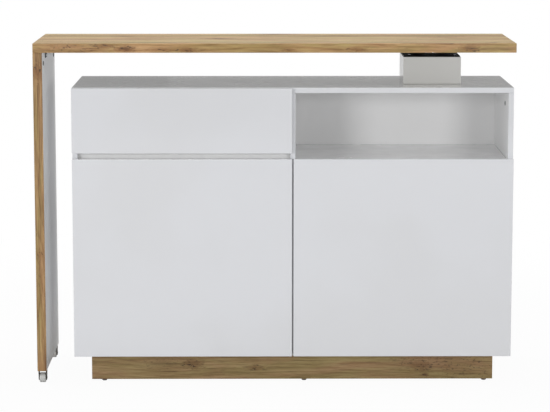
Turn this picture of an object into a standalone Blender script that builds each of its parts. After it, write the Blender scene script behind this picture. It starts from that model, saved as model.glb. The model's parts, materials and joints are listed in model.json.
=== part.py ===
"""Swivel bar cabinet: a low cabinet with a bar board that turns on a ball turntable.

Metres, +Z up, front towards -Y. The origin is the centre of the footprint, on the floor.
"""

import math

import bmesh
import bpy
from mathutils import Matrix, Vector

# Fit between pieces
SEAT = 0.0003
EDGE_ROUND = 0.0008

# Cabinet carcass
CABINET_WIDTH = 1.325
CABINET_HEIGHT = 0.9075
BOARD = 0.016
BACK_THICKNESS = 0.003
BACK_INSET = 0.011
BACK_ROUND = 0.0003
COMPARTMENT_HEIGHT = 0.2005
SHELF_SETBACK = 0.030

# Bar board and leg panel
BAR_DEPTH = 0.385
BAR_THICKNESS = 0.028
BAR_SETBACK = 0.0213
BAR_OVERHANG = 0.006
BAR_BACK_LAP = 0.0153
BAR_ROUND = 0.0015
LEG_ROUND = 0.0012
LEG_GAP = 0.087

# Fronts
FRONT_THICKNESS = 0.016
FRONT_AIR = 0.002
FRONT_GAP = 0.0045
DOOR_LOW_REVEAL = 0.0015
DOOR_LAP = 0.0025
GRIP_GAP = 0.018
DRAWER_FRONT_DROP = 0.0015

# Grip profile between drawer front and left door
GRIP_DEPTH = 0.024
GRIP_WALL = 0.0015
GRIP_LIP = 0.006
GRIP_LAP = 0.011

# Plinth and glides
PLINTH_HEIGHT = 0.083
PLINTH_SIDE_INSET = 0.048
PLINTH_FRONT_INSET = 0.0432
PLINTH_BACK_INSET = 0.043
GLIDE_HEIGHT = 0.005
GLIDE_RADIUS = 0.008
GLIDE_RIM_LOW = 0.0032
GLIDE_SHOULDER_RADIUS = 0.0068
GLIDE_SHOULDER_LOW = 0.0011
GLIDE_FOOT_RADIUS = 0.0046
GLIDE_LEFT_MARGIN = 0.038
GLIDE_RIGHT_MARGIN = 0.026
GLIDE_MIDDLE_SHIFT = 0.036

# Drawer box and ball runners
DRAWER_BOARD = 0.012
DRAWER_TOP_ROOM = 0.052
DRAWER_BACK_ROOM = 0.073
DRAWER_BOTTOM_THICKNESS = 0.003
DRAWER_BOTTOM_RISE = 0.010
DRAWER_CLEARANCE = 0.007
RUNNER_WIDTH = 0.0127
RUNNER_SETBACK = 0.003
RUNNER_SHEET = 0.0012
RUNNER_OUTER_HEIGHT = 0.0456
RUNNER_MIDDLE_HEIGHT = 0.0360
RUNNER_INNER_HEIGHT = 0.0250
RUNNER_OUTER_REACH = 0.0085
RUNNER_MIDDLE_REACH = 0.0098
RUNNER_NEST = 0.0007

# Concealed cup hinges, measured from a door's outer front corner
HINGE_END_MARGIN = 0.085
HINGE_AXIS_IN = 0.006
HINGE_AXIS_BACK = 0.003
CUP_CENTRE_IN = 0.0225
CUP_RADIUS = 0.0175
CUP_DEPTH = 0.0115
CUP_WALL = 0.0009
CUP_FLANGE = 0.0010
CUP_FLANGE_LAP = 0.0020
NECK_PIN_IN = 0.0330
NECK_PIN_BACK = 0.0090
LINK_PIN_IN = 0.0145
LINK_PIN_BACK = 0.0135
LINK_THICKNESS = 0.0022
LINK_WIDTH = 0.010
LINK_EYE_RADIUS = 0.0024
LINK_PIN_RADIUS = 0.0010
TONGUE_WIDTH = 0.0044
ARM_LENGTH = 0.052
ARM_WIDTH = 0.014
ARM_RISE = 0.011
ARM_SETBACK = 0.024
NECK_THICKNESS = 0.0030
NECK_RUN = 0.010
MOUNT_SETBACK = 0.012
MOUNT_STEP = 0.003
MOUNT_LENGTH = 0.036
MOUNT_HEIGHT = 0.052
MOUNT_THICKNESS = 0.0022

# Column and ball turntable
COLUMN_SIZE = 0.175
COLUMN_HEIGHT = 0.0827
COLUMN_WALL = 0.022
COLUMN_MARGIN = 0.150
TURNTABLE_ROOM = 0.0218
PLATE_MARGIN = 0.002
PLATE_SHEET = 0.0025
PLATE_CORNER = 0.010
RACE_RADIUS = 0.056
BALL_RADIUS = 0.004
BALL_COUNT = 16
RACE_HALF_WIDTH = 0.0062
RACE_LIP = 0.0015
RACE_LIP_HEIGHT = 0.0032
CAGE_SHEET = 0.0014
STUD_RADIUS = 0.010
STUD_FLANGE_RADIUS = 0.017
STUD_FLANGE_HEIGHT = 0.0025
SCREW_MARGIN = 0.0165
SCREW_HEAD_RADIUS = 0.0045
SCREW_HEAD_HEIGHT = 0.0028
SCREW_RIM_SHARE = 0.35

# Leg fittings
BRACKET_LEG = 0.022
BRACKET_WIDTH = 0.040
BRACKET_SHEET = 0.002
BRACKET_FRONT_MARGIN = 0.110
BRACKET_BACK_MARGIN = 0.055
CAM_RADIUS = 0.0075
CAM_RECESS = 0.0010
CAM_DROP = 0.034
CAM_MARGIN = 0.037

# Castors
WHEEL_RADIUS = 0.015
WHEEL_SIDE_ROOM = 0.00075
WHEEL_TOP_ROOM = 0.0070
WHEEL_ROUND = 0.003
HUB_RADIUS = 0.0085
HUB_DISH = 0.0025
HUB_WALL = 0.002
AXLE_RADIUS = 0.0030
AXLE_CLEARANCE = 0.0004
AXLE_HEAD_RADIUS = 0.0055
AXLE_HEAD = 0.0015
AXLE_HEAD_RIM = 0.0006
FORK_SHEET = 0.002
FORK_MARGIN = 0.00025
FORK_LENGTH = 0.030
FORK_SHOULDER = 0.008
FORK_DROP_RADIUS = 0.0085
CASTOR_MARGIN_FRONT = 0.025
CASTOR_MARGIN_BACK = 0.026

# Sizes and places that follow from the driving sizes
LEG_LIFT = 2 * WHEEL_RADIUS + WHEEL_TOP_ROOM + FORK_SHEET + SEAT
BAR_LENGTH = BAR_THICKNESS + LEG_GAP + CABINET_WIDTH + BAR_OVERHANG
BAR_LEFT = -BAR_LENGTH / 2
BAR_RIGHT = BAR_LENGTH / 2
TOTAL_DEPTH = BAR_SETBACK + BAR_DEPTH
FRONT_Y = -TOTAL_DEPTH / 2
BAR_FRONT = FRONT_Y + BAR_SETBACK
BAR_BACK = BAR_FRONT + BAR_DEPTH
COLUMN_TOP = CABINET_HEIGHT + COLUMN_HEIGHT
BAR_UNDER = COLUMN_TOP + TURNTABLE_ROOM
BAR_HEIGHT = BAR_UNDER + BAR_THICKNESS
LEG_INNER = BAR_LEFT + BAR_THICKNESS
CABINET_RIGHT = BAR_RIGHT - BAR_OVERHANG
CABINET_LEFT = CABINET_RIGHT - CABINET_WIDTH
CABINET_MIDDLE = (CABINET_LEFT + CABINET_RIGHT) / 2
FRONT_BACK = FRONT_Y + FRONT_THICKNESS
CARCASS_FRONT = FRONT_BACK + FRONT_AIR
CARCASS_BACK = BAR_BACK - BAR_BACK_LAP
CARCASS_BOTTOM = GLIDE_HEIGHT + PLINTH_HEIGHT
TOP_UNDER = CABINET_HEIGHT - BOARD
FLOOR_TOP = TOP_UNDER - COMPARTMENT_HEIGHT
FLOOR_UNDER = FLOOR_TOP - BOARD
CUPBOARD_FLOOR = CARCASS_BOTTOM + BOARD
SHELF_LOW = (CUPBOARD_FLOOR + FLOOR_UNDER - BOARD) / 2
LEFT_INNER = CABINET_LEFT + BOARD
RIGHT_INNER = CABINET_RIGHT - BOARD
CENTRE_LEFT = CABINET_MIDDLE - BOARD / 2
CENTRE_RIGHT = CABINET_MIDDLE + BOARD / 2
BACK_FRONT = CARCASS_BACK - BACK_INSET - BACK_THICKNESS
DOOR_BOTTOM = CARCASS_BOTTOM + DOOR_LOW_REVEAL
DOOR_TOP = FLOOR_TOP + DOOR_LAP
GRIP_MIDDLE = DOOR_TOP + GRIP_GAP / 2
DRAWER_FRONT_BOTTOM = DOOR_TOP + GRIP_GAP
DRAWER_FRONT_TOP = CABINET_HEIGHT - DRAWER_FRONT_DROP
GRIP_LOW = DOOR_TOP - GRIP_LAP
GRIP_HIGH = DRAWER_FRONT_BOTTOM + GRIP_LAP
DRAWER_BOX_BOTTOM = GRIP_HIGH + DRAWER_CLEARANCE
DRAWER_BOX_TOP = TOP_UNDER - DRAWER_TOP_ROOM
DRAWER_BOX_BACK = CARCASS_BACK - DRAWER_BACK_ROOM
RUNNER_MIDDLE_Z = (DRAWER_BOX_BOTTOM + DRAWER_BOX_TOP) / 2
RUNNER_FRONT = CARCASS_FRONT + RUNNER_SETBACK
RUNNER_BACK = DRAWER_BOX_BACK + RUNNER_SETBACK
PIVOT_X = CABINET_RIGHT - COLUMN_MARGIN - COLUMN_SIZE / 2
PIVOT_Y = BAR_FRONT + BAR_DEPTH / 2
PLATE_SIZE = COLUMN_SIZE - 2 * PLATE_MARGIN
SCREW_OFFSET = PLATE_SIZE / 2 - SCREW_MARGIN
LOWER_PLATE_TOP = COLUMN_TOP + SEAT + PLATE_SHEET
UPPER_PLATE_UNDER = BAR_UNDER - SEAT - PLATE_SHEET
BALL_Z = (LOWER_PLATE_TOP + UPPER_PLATE_UNDER) / 2
LEG_MIDDLE_X = BAR_LEFT + BAR_THICKNESS / 2
FORK_WIDTH = BAR_THICKNESS - 2 * (AXLE_HEAD + FORK_MARGIN)
WHEEL_WIDTH = FORK_WIDTH - 2 * (FORK_SHEET + WHEEL_SIDE_ROOM)

WHITE_GLOSS = ((0.80, 0.81, 0.82), 0.12, 0.0)
WHITE_BOARD = ((0.74, 0.75, 0.75), 0.35, 0.0)
OAK = ((0.42, 0.31, 0.20), 0.55, 0.0)
ALUMINIUM = ((0.78, 0.78, 0.78), 0.35, 0.9)
STEEL = ((0.62, 0.62, 0.63), 0.3, 1.0)
BLACK_STEEL = ((0.02, 0.02, 0.02), 0.45, 0.6)
DARK_STEEL = ((0.12, 0.11, 0.10), 0.4, 0.8)
GREY_WHEEL = ((0.62, 0.62, 0.60), 0.5, 0.0)
GREY_PLASTIC = ((0.22, 0.20, 0.20), 0.4, 0.0)
WELD = 0.00001

for leftover in list(bpy.data.objects):
    bpy.data.objects.remove(leftover, do_unlink=True)

parts = bpy.data.collections.new("swivel_bar_cabinet")
cutters = bpy.data.collections.new("cutters")
bpy.context.scene.collection.children.link(parts)
bpy.context.scene.collection.children.link(cutters)


def finish(piece, look):
    """Give a piece its own Principled material with the look's colour, roughness and metallic."""
    colour, roughness, metallic = look
    material = bpy.data.materials.new(piece.name)
    material.use_nodes = True
    shader = material.node_tree.nodes["Principled BSDF"]
    shader.inputs["Base Color"].default_value = (*colour, 1.0)
    shader.inputs["Roughness"].default_value = roughness
    shader.inputs["Metallic"].default_value = metallic
    piece.data.materials.clear()
    piece.data.materials.append(material)
    return piece


def put_in(piece, collection):
    """Move a new object from the scene's own collection to the one it belongs in."""
    for holder in list(piece.users_collection):
        holder.objects.unlink(piece)
    collection.objects.link(piece)
    return piece


def block(name, low, high, collection=parts):
    """A cube primitive between two corners, with its scale applied."""
    low = Vector(low)
    high = Vector(high)
    bpy.ops.mesh.primitive_cube_add(size=1.0, location=(low + high) / 2)
    piece = bpy.context.active_object
    piece.name = name
    piece.scale = high - low
    bpy.ops.object.transform_apply(location=False, rotation=False, scale=True)
    return put_in(piece, collection)


def board(name, low, high, look, rounding=EDGE_ROUND):
    """A board with slightly rounded edges."""
    piece = block(name, low, high)
    bevel = piece.modifiers.new("edges", "BEVEL")
    bevel.width = rounding
    bevel.segments = 1
    return finish(piece, look)


def turned(name, profile, centre, axis="Z", steps=32, closed=False, collection=parts):
    """A profile of (radius, height) points turned round its own Z axis, laid along an axis."""
    mesh = bpy.data.meshes.new(name)
    edges = [(i, i + 1) for i in range(len(profile) - 1)]
    if closed:
        edges.append((len(profile) - 1, 0))
    mesh.from_pydata([(radius, 0.0, height) for radius, height in profile], edges, [])
    piece = bpy.data.objects.new(name, mesh)
    collection.objects.link(piece)
    piece.location = centre
    if axis == "X":
        piece.rotation_euler = (0.0, math.pi / 2, 0.0)
    screw = piece.modifiers.new("turn", "SCREW")
    screw.axis = "Z"
    screw.steps = steps
    screw.render_steps = steps
    screw.use_merge_vertices = True
    screw.merge_threshold = WELD
    screw.use_smooth_shade = True
    return piece


def drum(name, radius, low, high, centre, axis="Z", steps=32, collection=parts):
    """A plain cylinder between two heights on its axis."""
    profile = [(0.0, high), (radius, high), (radius, low), (0.0, low)]
    return turned(name, profile, centre, axis, steps, collection=collection)


def plate(name, outline, thickness, centre, rotation=(0.0, 0.0, 0.0)):
    """A flat outline, filled and given a thickness, centred on its own plane."""
    curve = bpy.data.curves.new(name, "CURVE")
    curve.dimensions = "2D"
    curve.fill_mode = "BOTH"
    curve.extrude = thickness / 2
    spline = curve.splines.new("POLY")
    spline.points.add(len(outline) - 1)
    for point, (x, y) in zip(spline.points, outline):
        point.co = (x, y, 0.0, 1.0)
    spline.use_cyclic_u = True
    piece = bpy.data.objects.new(name, curve)
    parts.objects.link(piece)
    piece.location = centre
    piece.rotation_euler = rotation
    return piece


def as_mesh(piece):
    """The evaluated shape of a piece as a welded mesh object that takes its place."""
    bpy.context.view_layer.update()
    evaluated = piece.evaluated_get(bpy.context.evaluated_depsgraph_get())
    mesh = bpy.data.meshes.new_from_object(evaluated)
    welded = bmesh.new()
    welded.from_mesh(mesh)
    bmesh.ops.remove_doubles(welded, verts=welded.verts, dist=WELD)
    bmesh.ops.recalc_face_normals(welded, faces=welded.faces)
    welded.to_mesh(mesh)
    welded.free()
    name = piece.name
    place = piece.matrix_world.copy()
    home = piece.users_collection[0]
    bpy.data.objects.remove(piece, do_unlink=True)
    solid = bpy.data.objects.new(name, mesh)
    solid.name = name
    solid.matrix_world = place
    home.objects.link(solid)
    return solid


def cutter_set(name, pieces):
    """Several like pieces as one hidden object, to cut or join in one step."""
    bpy.context.view_layer.update()
    together = bmesh.new()
    for piece in pieces:
        evaluated = piece.evaluated_get(bpy.context.evaluated_depsgraph_get())
        mesh = bpy.data.meshes.new_from_object(evaluated)
        mesh.transform(piece.matrix_world)
        together.from_mesh(mesh)
        bpy.data.meshes.remove(mesh)
    bmesh.ops.remove_doubles(together, verts=together.verts, dist=WELD)
    mesh = bpy.data.meshes.new(name)
    together.to_mesh(mesh)
    together.free()
    for piece in pieces:
        bpy.data.objects.remove(piece, do_unlink=True)
    joined = bpy.data.objects.new(name, mesh)
    cutters.objects.link(joined)
    return joined


def cut(piece, cutter, operation="DIFFERENCE"):
    """Boolean a cutter into a piece and keep the cutter hidden."""
    cutter.hide_render = True
    cutter.display_type = "WIRE"
    step = piece.modifiers.new(operation.lower(), "BOOLEAN")
    step.operation = operation
    step.object = cutter
    step.solver = "EXACT"
    return piece


def moving(name, place):
    """An empty on a joint's axis, which the moving pieces hang from."""
    pivot = bpy.data.objects.new(name, None)
    pivot.location = place
    parts.objects.link(pivot)
    return pivot


def hang(pivot, pieces):
    """Parent pieces to an empty without moving them."""
    for piece in pieces:
        piece.parent = pivot
        piece.location = piece.location - pivot.location
    return pieces


def arc(centre_x, centre_y, radius, start, end, steps):
    """Points on an arc, both ends included, angles in degrees."""
    points = []
    for i in range(steps + 1):
        turn = math.radians(start + (end - start) * i / steps)
        points.append((centre_x + radius * math.cos(turn), centre_y + radius * math.sin(turn)))
    return points


def rounded_square(size, corner, steps=4):
    """Outline of a square with round corners, centred."""
    reach = size / 2 - corner
    outline = arc(reach, reach, corner, 0, 90, steps)
    outline += arc(-reach, reach, corner, 90, 180, steps)
    outline += arc(-reach, -reach, corner, 180, 270, steps)
    outline += arc(reach, -reach, corner, 270, 360, steps)
    return outline


def carcass():
    """The cabinet's fixed boards."""
    front = CARCASS_FRONT
    back = CARCASS_BACK
    sides_top = TOP_UNDER - SEAT
    board("top_panel", (CABINET_LEFT, front, TOP_UNDER), (CABINET_RIGHT, back, CABINET_HEIGHT),
          WHITE_GLOSS)
    board("side_panel_left", (CABINET_LEFT, front, CARCASS_BOTTOM), (LEFT_INNER, back, sides_top),
          WHITE_GLOSS)
    board("side_panel_right", (RIGHT_INNER, front, CARCASS_BOTTOM), (CABINET_RIGHT, back, sides_top),
          WHITE_GLOSS)
    board("centre_panel", (CENTRE_LEFT, front, CUPBOARD_FLOOR + SEAT), (CENTRE_RIGHT, back, sides_top),
          WHITE_BOARD)
    board("bottom_panel", (LEFT_INNER + SEAT, front, CARCASS_BOTTOM),
          (RIGHT_INNER - SEAT, back, CUPBOARD_FLOOR), WHITE_BOARD)
    shelf_back = BACK_FRONT - SEAT
    board("drawer_shelf", (LEFT_INNER + SEAT, front + GRIP_DEPTH + SEAT, FLOOR_UNDER),
          (CENTRE_LEFT - SEAT, shelf_back, FLOOR_TOP), WHITE_BOARD)
    board("open_shelf", (CENTRE_RIGHT + SEAT, front, FLOOR_UNDER),
          (RIGHT_INNER - SEAT, shelf_back, FLOOR_TOP), WHITE_GLOSS)
    for side, low_x, high_x in (("left", LEFT_INNER, CENTRE_LEFT), ("right", CENTRE_RIGHT, RIGHT_INNER)):
        board("back_panel_" + side, (low_x + SEAT, BACK_FRONT, CUPBOARD_FLOOR + SEAT),
              (high_x - SEAT, BACK_FRONT + BACK_THICKNESS, sides_top), WHITE_BOARD, BACK_ROUND)


def loose_shelves():
    """A loose shelf in each cupboard."""
    air = 2 * SEAT
    shelf_front = CARCASS_FRONT + SHELF_SETBACK
    shelf_back = BACK_FRONT - SEAT
    for side, low_x, high_x in (("left", LEFT_INNER, CENTRE_LEFT), ("right", CENTRE_RIGHT, RIGHT_INNER)):
        board("shelf_" + side, (low_x + air, shelf_front, SHELF_LOW),
              (high_x - air, shelf_back, SHELF_LOW + BOARD), WHITE_BOARD)


def plinth():
    """The recessed plinth frame and the glides under it."""
    low = GLIDE_HEIGHT
    high = CARCASS_BOTTOM - SEAT
    left = CABINET_LEFT + PLINTH_SIDE_INSET
    right = CABINET_RIGHT - PLINTH_SIDE_INSET
    front = CARCASS_FRONT + PLINTH_FRONT_INSET
    back = CARCASS_BACK - PLINTH_BACK_INSET
    inner_front = front + BOARD + SEAT
    inner_back = back - BOARD - SEAT
    board("plinth_front", (left, front, low), (right, front + BOARD, high), OAK)
    board("plinth_back", (left, back - BOARD, low), (right, back, high), OAK)
    board("plinth_left", (left, inner_front, low), (left + BOARD, inner_back, high), OAK)
    board("plinth_right", (right - BOARD, inner_front, low), (right, inner_back, high), OAK)
    top = low - SEAT
    profile = [(0.0, top), (GLIDE_RADIUS, top), (GLIDE_RADIUS, GLIDE_RIM_LOW),
               (GLIDE_SHOULDER_RADIUS, GLIDE_SHOULDER_LOW), (GLIDE_FOOT_RADIUS, 0.0), (0.0, 0.0)]
    glide_x = {
        "left": left + GLIDE_LEFT_MARGIN,
        "middle": CABINET_MIDDLE + GLIDE_MIDDLE_SHIFT,
        "right": right - GLIDE_RIGHT_MARGIN,
    }
    glide_y = {"front": front + BOARD / 2, "back": back - BOARD / 2}
    for side, x in glide_x.items():
        for row, y in glide_y.items():
            glide = turned("glide_" + row + "_" + side, profile, (x, y, 0.0), steps=16)
            finish(glide, GREY_PLASTIC)


def grip_profile():
    """The channel behind the gap between drawer front and left door: a C section, open to the front."""
    wall = GRIP_WALL
    lip = GRIP_LIP
    depth = GRIP_DEPTH
    low = GRIP_LOW - GRIP_MIDDLE
    high = GRIP_HIGH - GRIP_MIDDLE
    # Section in (back, up) from the carcass front; the lips turn back behind both fronts
    outer = [(0.0, low), (depth, low), (depth, high), (0.0, high), (0.0, high - lip), (wall, high - lip)]
    inner = [(wall, high - wall), (depth - wall, high - wall), (depth - wall, low + wall), (wall, low + wall)]
    close = [(wall, low + lip), (0.0, low + lip)]
    length = CENTRE_LEFT - LEFT_INNER - 2 * SEAT
    middle = ((LEFT_INNER + CENTRE_LEFT) / 2, CARCASS_FRONT, GRIP_MIDDLE)
    channel = plate("grip_profile", outer + inner + close, length, middle, (math.pi / 2, 0.0, math.pi / 2))
    return finish(as_mesh(channel), ALUMINIUM)


def runner_member(name, wall_x, inward, sheet_out, reach, height):
    """One sheet of a ball runner: a channel whose web stands off the wall, with its flanges towards reach."""
    web = sheet_out + RUNNER_SHEET
    half = height / 2
    if sheet_out > reach:
        web = sheet_out - RUNNER_SHEET
    inner = half - RUNNER_SHEET
    section = [(sheet_out, -half), (reach, -half), (reach, -inner), (web, -inner), (web, inner),
               (reach, inner), (reach, half), (sheet_out, half)]
    outline = [(inward * x, z) for x, z in section]
    place = (wall_x, (RUNNER_FRONT + RUNNER_BACK) / 2, RUNNER_MIDDLE_Z)
    member = plate(name, outline, RUNNER_BACK - RUNNER_FRONT, place, (math.pi / 2, 0.0, 0.0))
    return finish(as_mesh(member), STEEL)


def drawer():
    """The drawer, its front and the telescopic runners at its sides."""
    middle_members = []
    moving_pieces = []
    for side, wall_x, inward in (("left", LEFT_INNER, 1), ("right", CENTRE_LEFT, -1)):
        outer_web = SEAT + RUNNER_SHEET
        middle_back = outer_web + RUNNER_NEST
        middle_web = middle_back + RUNNER_SHEET
        inner_back = RUNNER_WIDTH - SEAT
        runner_member("runner_outer_" + side, wall_x, inward, SEAT, RUNNER_OUTER_REACH, RUNNER_OUTER_HEIGHT)
        middle_members.append(runner_member("runner_middle_" + side, wall_x, inward, middle_back,
                                            RUNNER_MIDDLE_REACH, RUNNER_MIDDLE_HEIGHT))
        moving_pieces.append(runner_member("runner_inner_" + side, wall_x, inward, inner_back,
                                           middle_web + RUNNER_NEST, RUNNER_INNER_HEIGHT))
    low = DRAWER_BOX_BOTTOM
    high = DRAWER_BOX_TOP
    box_left = LEFT_INNER + RUNNER_WIDTH
    box_right = CENTRE_LEFT - RUNNER_WIDTH
    inner_left = box_left + DRAWER_BOARD
    inner_right = box_right - DRAWER_BOARD
    box_front = FRONT_BACK + SEAT
    box_back = DRAWER_BOX_BACK
    bottom = low + DRAWER_BOTTOM_RISE
    moving_pieces.append(board("drawer_front", (CABINET_LEFT, FRONT_Y, DRAWER_FRONT_BOTTOM),
                               (CABINET_MIDDLE - FRONT_GAP / 2, FRONT_BACK, DRAWER_FRONT_TOP), WHITE_GLOSS))
    moving_pieces.append(board("drawer_side_left", (box_left, box_front, low), (inner_left, box_back, high),
                               WHITE_BOARD))
    moving_pieces.append(board("drawer_side_right", (inner_right, box_front, low),
                               (box_right, box_back, high), WHITE_BOARD))
    moving_pieces.append(board("drawer_back", (inner_left + SEAT, box_back - DRAWER_BOARD, low),
                               (inner_right - SEAT, box_back, high), WHITE_BOARD))
    moving_pieces.append(board("drawer_bottom", (inner_left + SEAT, box_front, bottom),
                               (inner_right - SEAT, box_back - DRAWER_BOARD - SEAT,
                                bottom + DRAWER_BOTTOM_THICKNESS), WHITE_BOARD, BACK_ROUND))
    hang(moving("drawer_slide", (CABINET_MIDDLE, FRONT_Y, RUNNER_MIDDLE_Z)), moving_pieces)
    hang(moving("runner_middle_slide", (CABINET_MIDDLE, CARCASS_FRONT, RUNNER_MIDDLE_Z)), middle_members)


def link_outline():
    """Plan view of a hinge link: an eye on the neck's pin and a flat bar to the middle of the cup."""
    length = math.hypot(NECK_PIN_IN - LINK_PIN_IN, NECK_PIN_BACK - LINK_PIN_BACK)
    half = LINK_THICKNESS / 2
    spread = math.degrees(math.asin(half / LINK_EYE_RADIUS))
    return arc(0.0, 0.0, LINK_EYE_RADIUS, spread, 360 - spread, 12) + arc(length, 0.0, half, -90, 90, 6)


def neck_outline(edge_x, inward):
    """Plan view of a hinge arm: a bar along the side panel whose neck bends into the cup."""
    half = NECK_THICKNESS / 2
    arm_in = BOARD + ARM_RISE
    arm_start = CARCASS_FRONT - FRONT_Y + ARM_SETBACK
    arm_end = arm_start + ARM_LENGTH
    bend = arm_start - NECK_RUN
    tip = arc(NECK_PIN_IN, NECK_PIN_BACK, half, 0, -180, 6)
    inner = [(NECK_PIN_IN - half, bend - half), (arm_in - half, arm_start), (arm_in - half, arm_end)]
    outer = [(arm_in + half, arm_end), (arm_in + half, arm_start), (NECK_PIN_IN + half, bend)]
    return [(edge_x + inward * a, FRONT_Y + b) for a, b in tip + inner + outer]


def hinge_cup(name, door, cup_x, z):
    """A pressed cup with a flange, seated in a blind bore in the door's back."""
    place = (cup_x, FRONT_BACK, z)
    socket = drum(name + "_socket", CUP_RADIUS, -CUP_DEPTH, CUP_DEPTH, place, steps=24, collection=cutters)
    socket.rotation_euler = (-math.pi / 2, 0.0, 0.0)
    cut(door, socket)
    radius = CUP_RADIUS - SEAT
    deep = -CUP_DEPTH + SEAT
    bore = radius - CUP_WALL
    rim = radius + CUP_FLANGE_LAP
    lip = SEAT + CUP_FLANGE
    profile = [(0.0, deep + CUP_WALL), (bore, deep + CUP_WALL), (bore, lip), (rim, lip), (rim, SEAT),
               (radius, SEAT), (radius, deep), (0.0, deep)]
    cup = turned(name, profile, place, steps=24)
    cup.rotation_euler = (-math.pi / 2, 0.0, 0.0)
    return finish(cup, STEEL)


def hinge_arm(name, edge_x, inward, z):
    """An arm on its mounting plate: the neck narrows to a tongue that carries the link's pin."""
    arm = as_mesh(plate(name, neck_outline(edge_x, inward), ARM_WIDTH, (0.0, 0.0, z)))
    pin_x = edge_x + inward * NECK_PIN_IN
    pin_y = FRONT_Y + NECK_PIN_BACK
    clear = LINK_EYE_RADIUS + 2 * SEAT
    for side in (-1, 1):
        low_z, high_z = sorted((z + side * TONGUE_WIDTH / 2, z + side * ARM_WIDTH))
        beside = block(name + "_beside_tongue", (pin_x - ARM_WIDTH, pin_y - ARM_WIDTH, low_z),
                       (pin_x + ARM_WIDTH, pin_y + clear, high_z), cutters)
        cut(arm, beside)
    pin = drum(name + "_pin", LINK_PIN_RADIUS, -LINK_WIDTH / 2, LINK_WIDTH / 2, (pin_x, pin_y, z), steps=12,
               collection=cutters)
    cut(arm, pin, "UNION")
    mount_y = CARCASS_FRONT + ARM_SETBACK + MOUNT_SETBACK
    wall_x = edge_x + inward * (BOARD + SEAT)
    face_x = wall_x + inward * MOUNT_THICKNESS
    arm_x = edge_x + inward * (BOARD + ARM_RISE)
    low_x, high_x = sorted((wall_x, face_x))
    mount = block(name + "_mount", (low_x, mount_y, z - MOUNT_HEIGHT / 2),
                  (high_x, mount_y + MOUNT_LENGTH, z + MOUNT_HEIGHT / 2), cutters)
    low_x, high_x = sorted(((wall_x + face_x) / 2, arm_x))
    saddle = block(name + "_saddle", (low_x, mount_y + MOUNT_STEP, z - ARM_WIDTH / 2 + MOUNT_STEP),
                   (high_x, mount_y + MOUNT_LENGTH - MOUNT_STEP, z + ARM_WIDTH / 2 - MOUNT_STEP), cutters)
    cut(arm, saddle, "UNION")
    cut(arm, mount, "UNION")
    return finish(arm, STEEL)


def hinge_link(name, edge_x, inward, z):
    """The link between arm and cup: a fork round the arm's tongue, turning on the arm's pin."""
    turn = math.atan2(LINK_PIN_BACK - NECK_PIN_BACK, inward * (LINK_PIN_IN - NECK_PIN_IN))
    place = (edge_x + inward * NECK_PIN_IN, FRONT_Y + NECK_PIN_BACK, z)
    link = as_mesh(plate(name, link_outline(), LINK_WIDTH, place, (0.0, 0.0, turn)))
    clear = NECK_THICKNESS / 2 + 2 * SEAT
    reach = 2 * LINK_EYE_RADIUS
    slot_half = TONGUE_WIDTH / 2 + SEAT
    slot = block(name + "_slot", (-reach, -reach, -slot_half), (clear + LINK_EYE_RADIUS, reach, slot_half),
                 cutters)
    slot.location = Vector(place) + Matrix.Rotation(turn, 3, "Z") @ slot.location
    slot.rotation_euler = (0.0, 0.0, turn)
    cut(link, slot)
    bore = drum(name + "_bore", LINK_PIN_RADIUS + SEAT, -LINK_WIDTH, LINK_WIDTH, place, steps=12,
                collection=cutters)
    cut(link, bore)
    return finish(link, STEEL)


def doors():
    """The two overlay doors, each on two concealed hinges."""
    for side, edge_x, inward in (("left", CABINET_LEFT, 1), ("right", CABINET_RIGHT, -1)):
        meet_x = CABINET_MIDDLE - inward * FRONT_GAP / 2
        low_x, high_x = sorted((edge_x, meet_x))
        door = board("door_" + side, (low_x, FRONT_Y, DOOR_BOTTOM), (high_x, FRONT_BACK, DOOR_TOP),
                     WHITE_GLOSS)
        cup_x = edge_x + inward * CUP_CENTRE_IN
        swinging = [door]
        links = []
        for level, z in (("low", DOOR_BOTTOM + HINGE_END_MARGIN), ("high", DOOR_TOP - HINGE_END_MARGIN)):
            ending = side + "_" + level
            swinging.append(hinge_cup("hinge_cup_" + ending, door, cup_x, z))
            hinge_arm("hinge_arm_" + ending, edge_x, inward, z)
            links.append(hinge_link("hinge_link_" + ending, edge_x, inward, z))
        axis = (edge_x + inward * HINGE_AXIS_IN, FRONT_Y + HINGE_AXIS_BACK, DOOR_BOTTOM)
        hang(moving("door_" + side + "_axis", axis), swinging)
        pin = (edge_x + inward * NECK_PIN_IN, FRONT_Y + NECK_PIN_BACK, DOOR_BOTTOM)
        hang(moving("hinge_link_" + side + "_axis", pin), links)


def column():
    """The square column on the cabinet: a box without top or bottom."""
    half = COLUMN_SIZE / 2
    room = half - COLUMN_WALL
    low = CABINET_HEIGHT + SEAT
    box = board("column_box", (PIVOT_X - half, PIVOT_Y - half, low),
                (PIVOT_X + half, PIVOT_Y + half, COLUMN_TOP), WHITE_GLOSS)
    inside = block("column_room", (PIVOT_X - room, PIVOT_Y - room, low - BOARD),
                   (PIVOT_X + room, PIVOT_Y + room, COLUMN_TOP + BOARD), cutters)
    cut(box, inside)


def screw_heads(name, seat_z, up):
    """Four pan heads near the corners of a turntable plate, up or down."""
    radius = SCREW_HEAD_RADIUS
    height = SCREW_HEAD_HEIGHT
    crown = [(radius * math.sin(turn), height * (SCREW_RIM_SHARE + (1 - SCREW_RIM_SHARE) * math.cos(turn)))
             for turn in (math.radians(90 * i / 4) for i in range(5))]
    profile = crown + [(radius, -PLATE_SHEET / 4), (0.0, -PLATE_SHEET / 4)]
    heads = []
    for x in (-SCREW_OFFSET, SCREW_OFFSET):
        for y in (-SCREW_OFFSET, SCREW_OFFSET):
            head = turned("head", profile, (PIVOT_X + x, PIVOT_Y + y, seat_z), steps=10)
            if not up:
                head.rotation_euler = (math.pi, 0.0, 0.0)
            heads.append(head)
    return cutter_set(name, heads)


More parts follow.
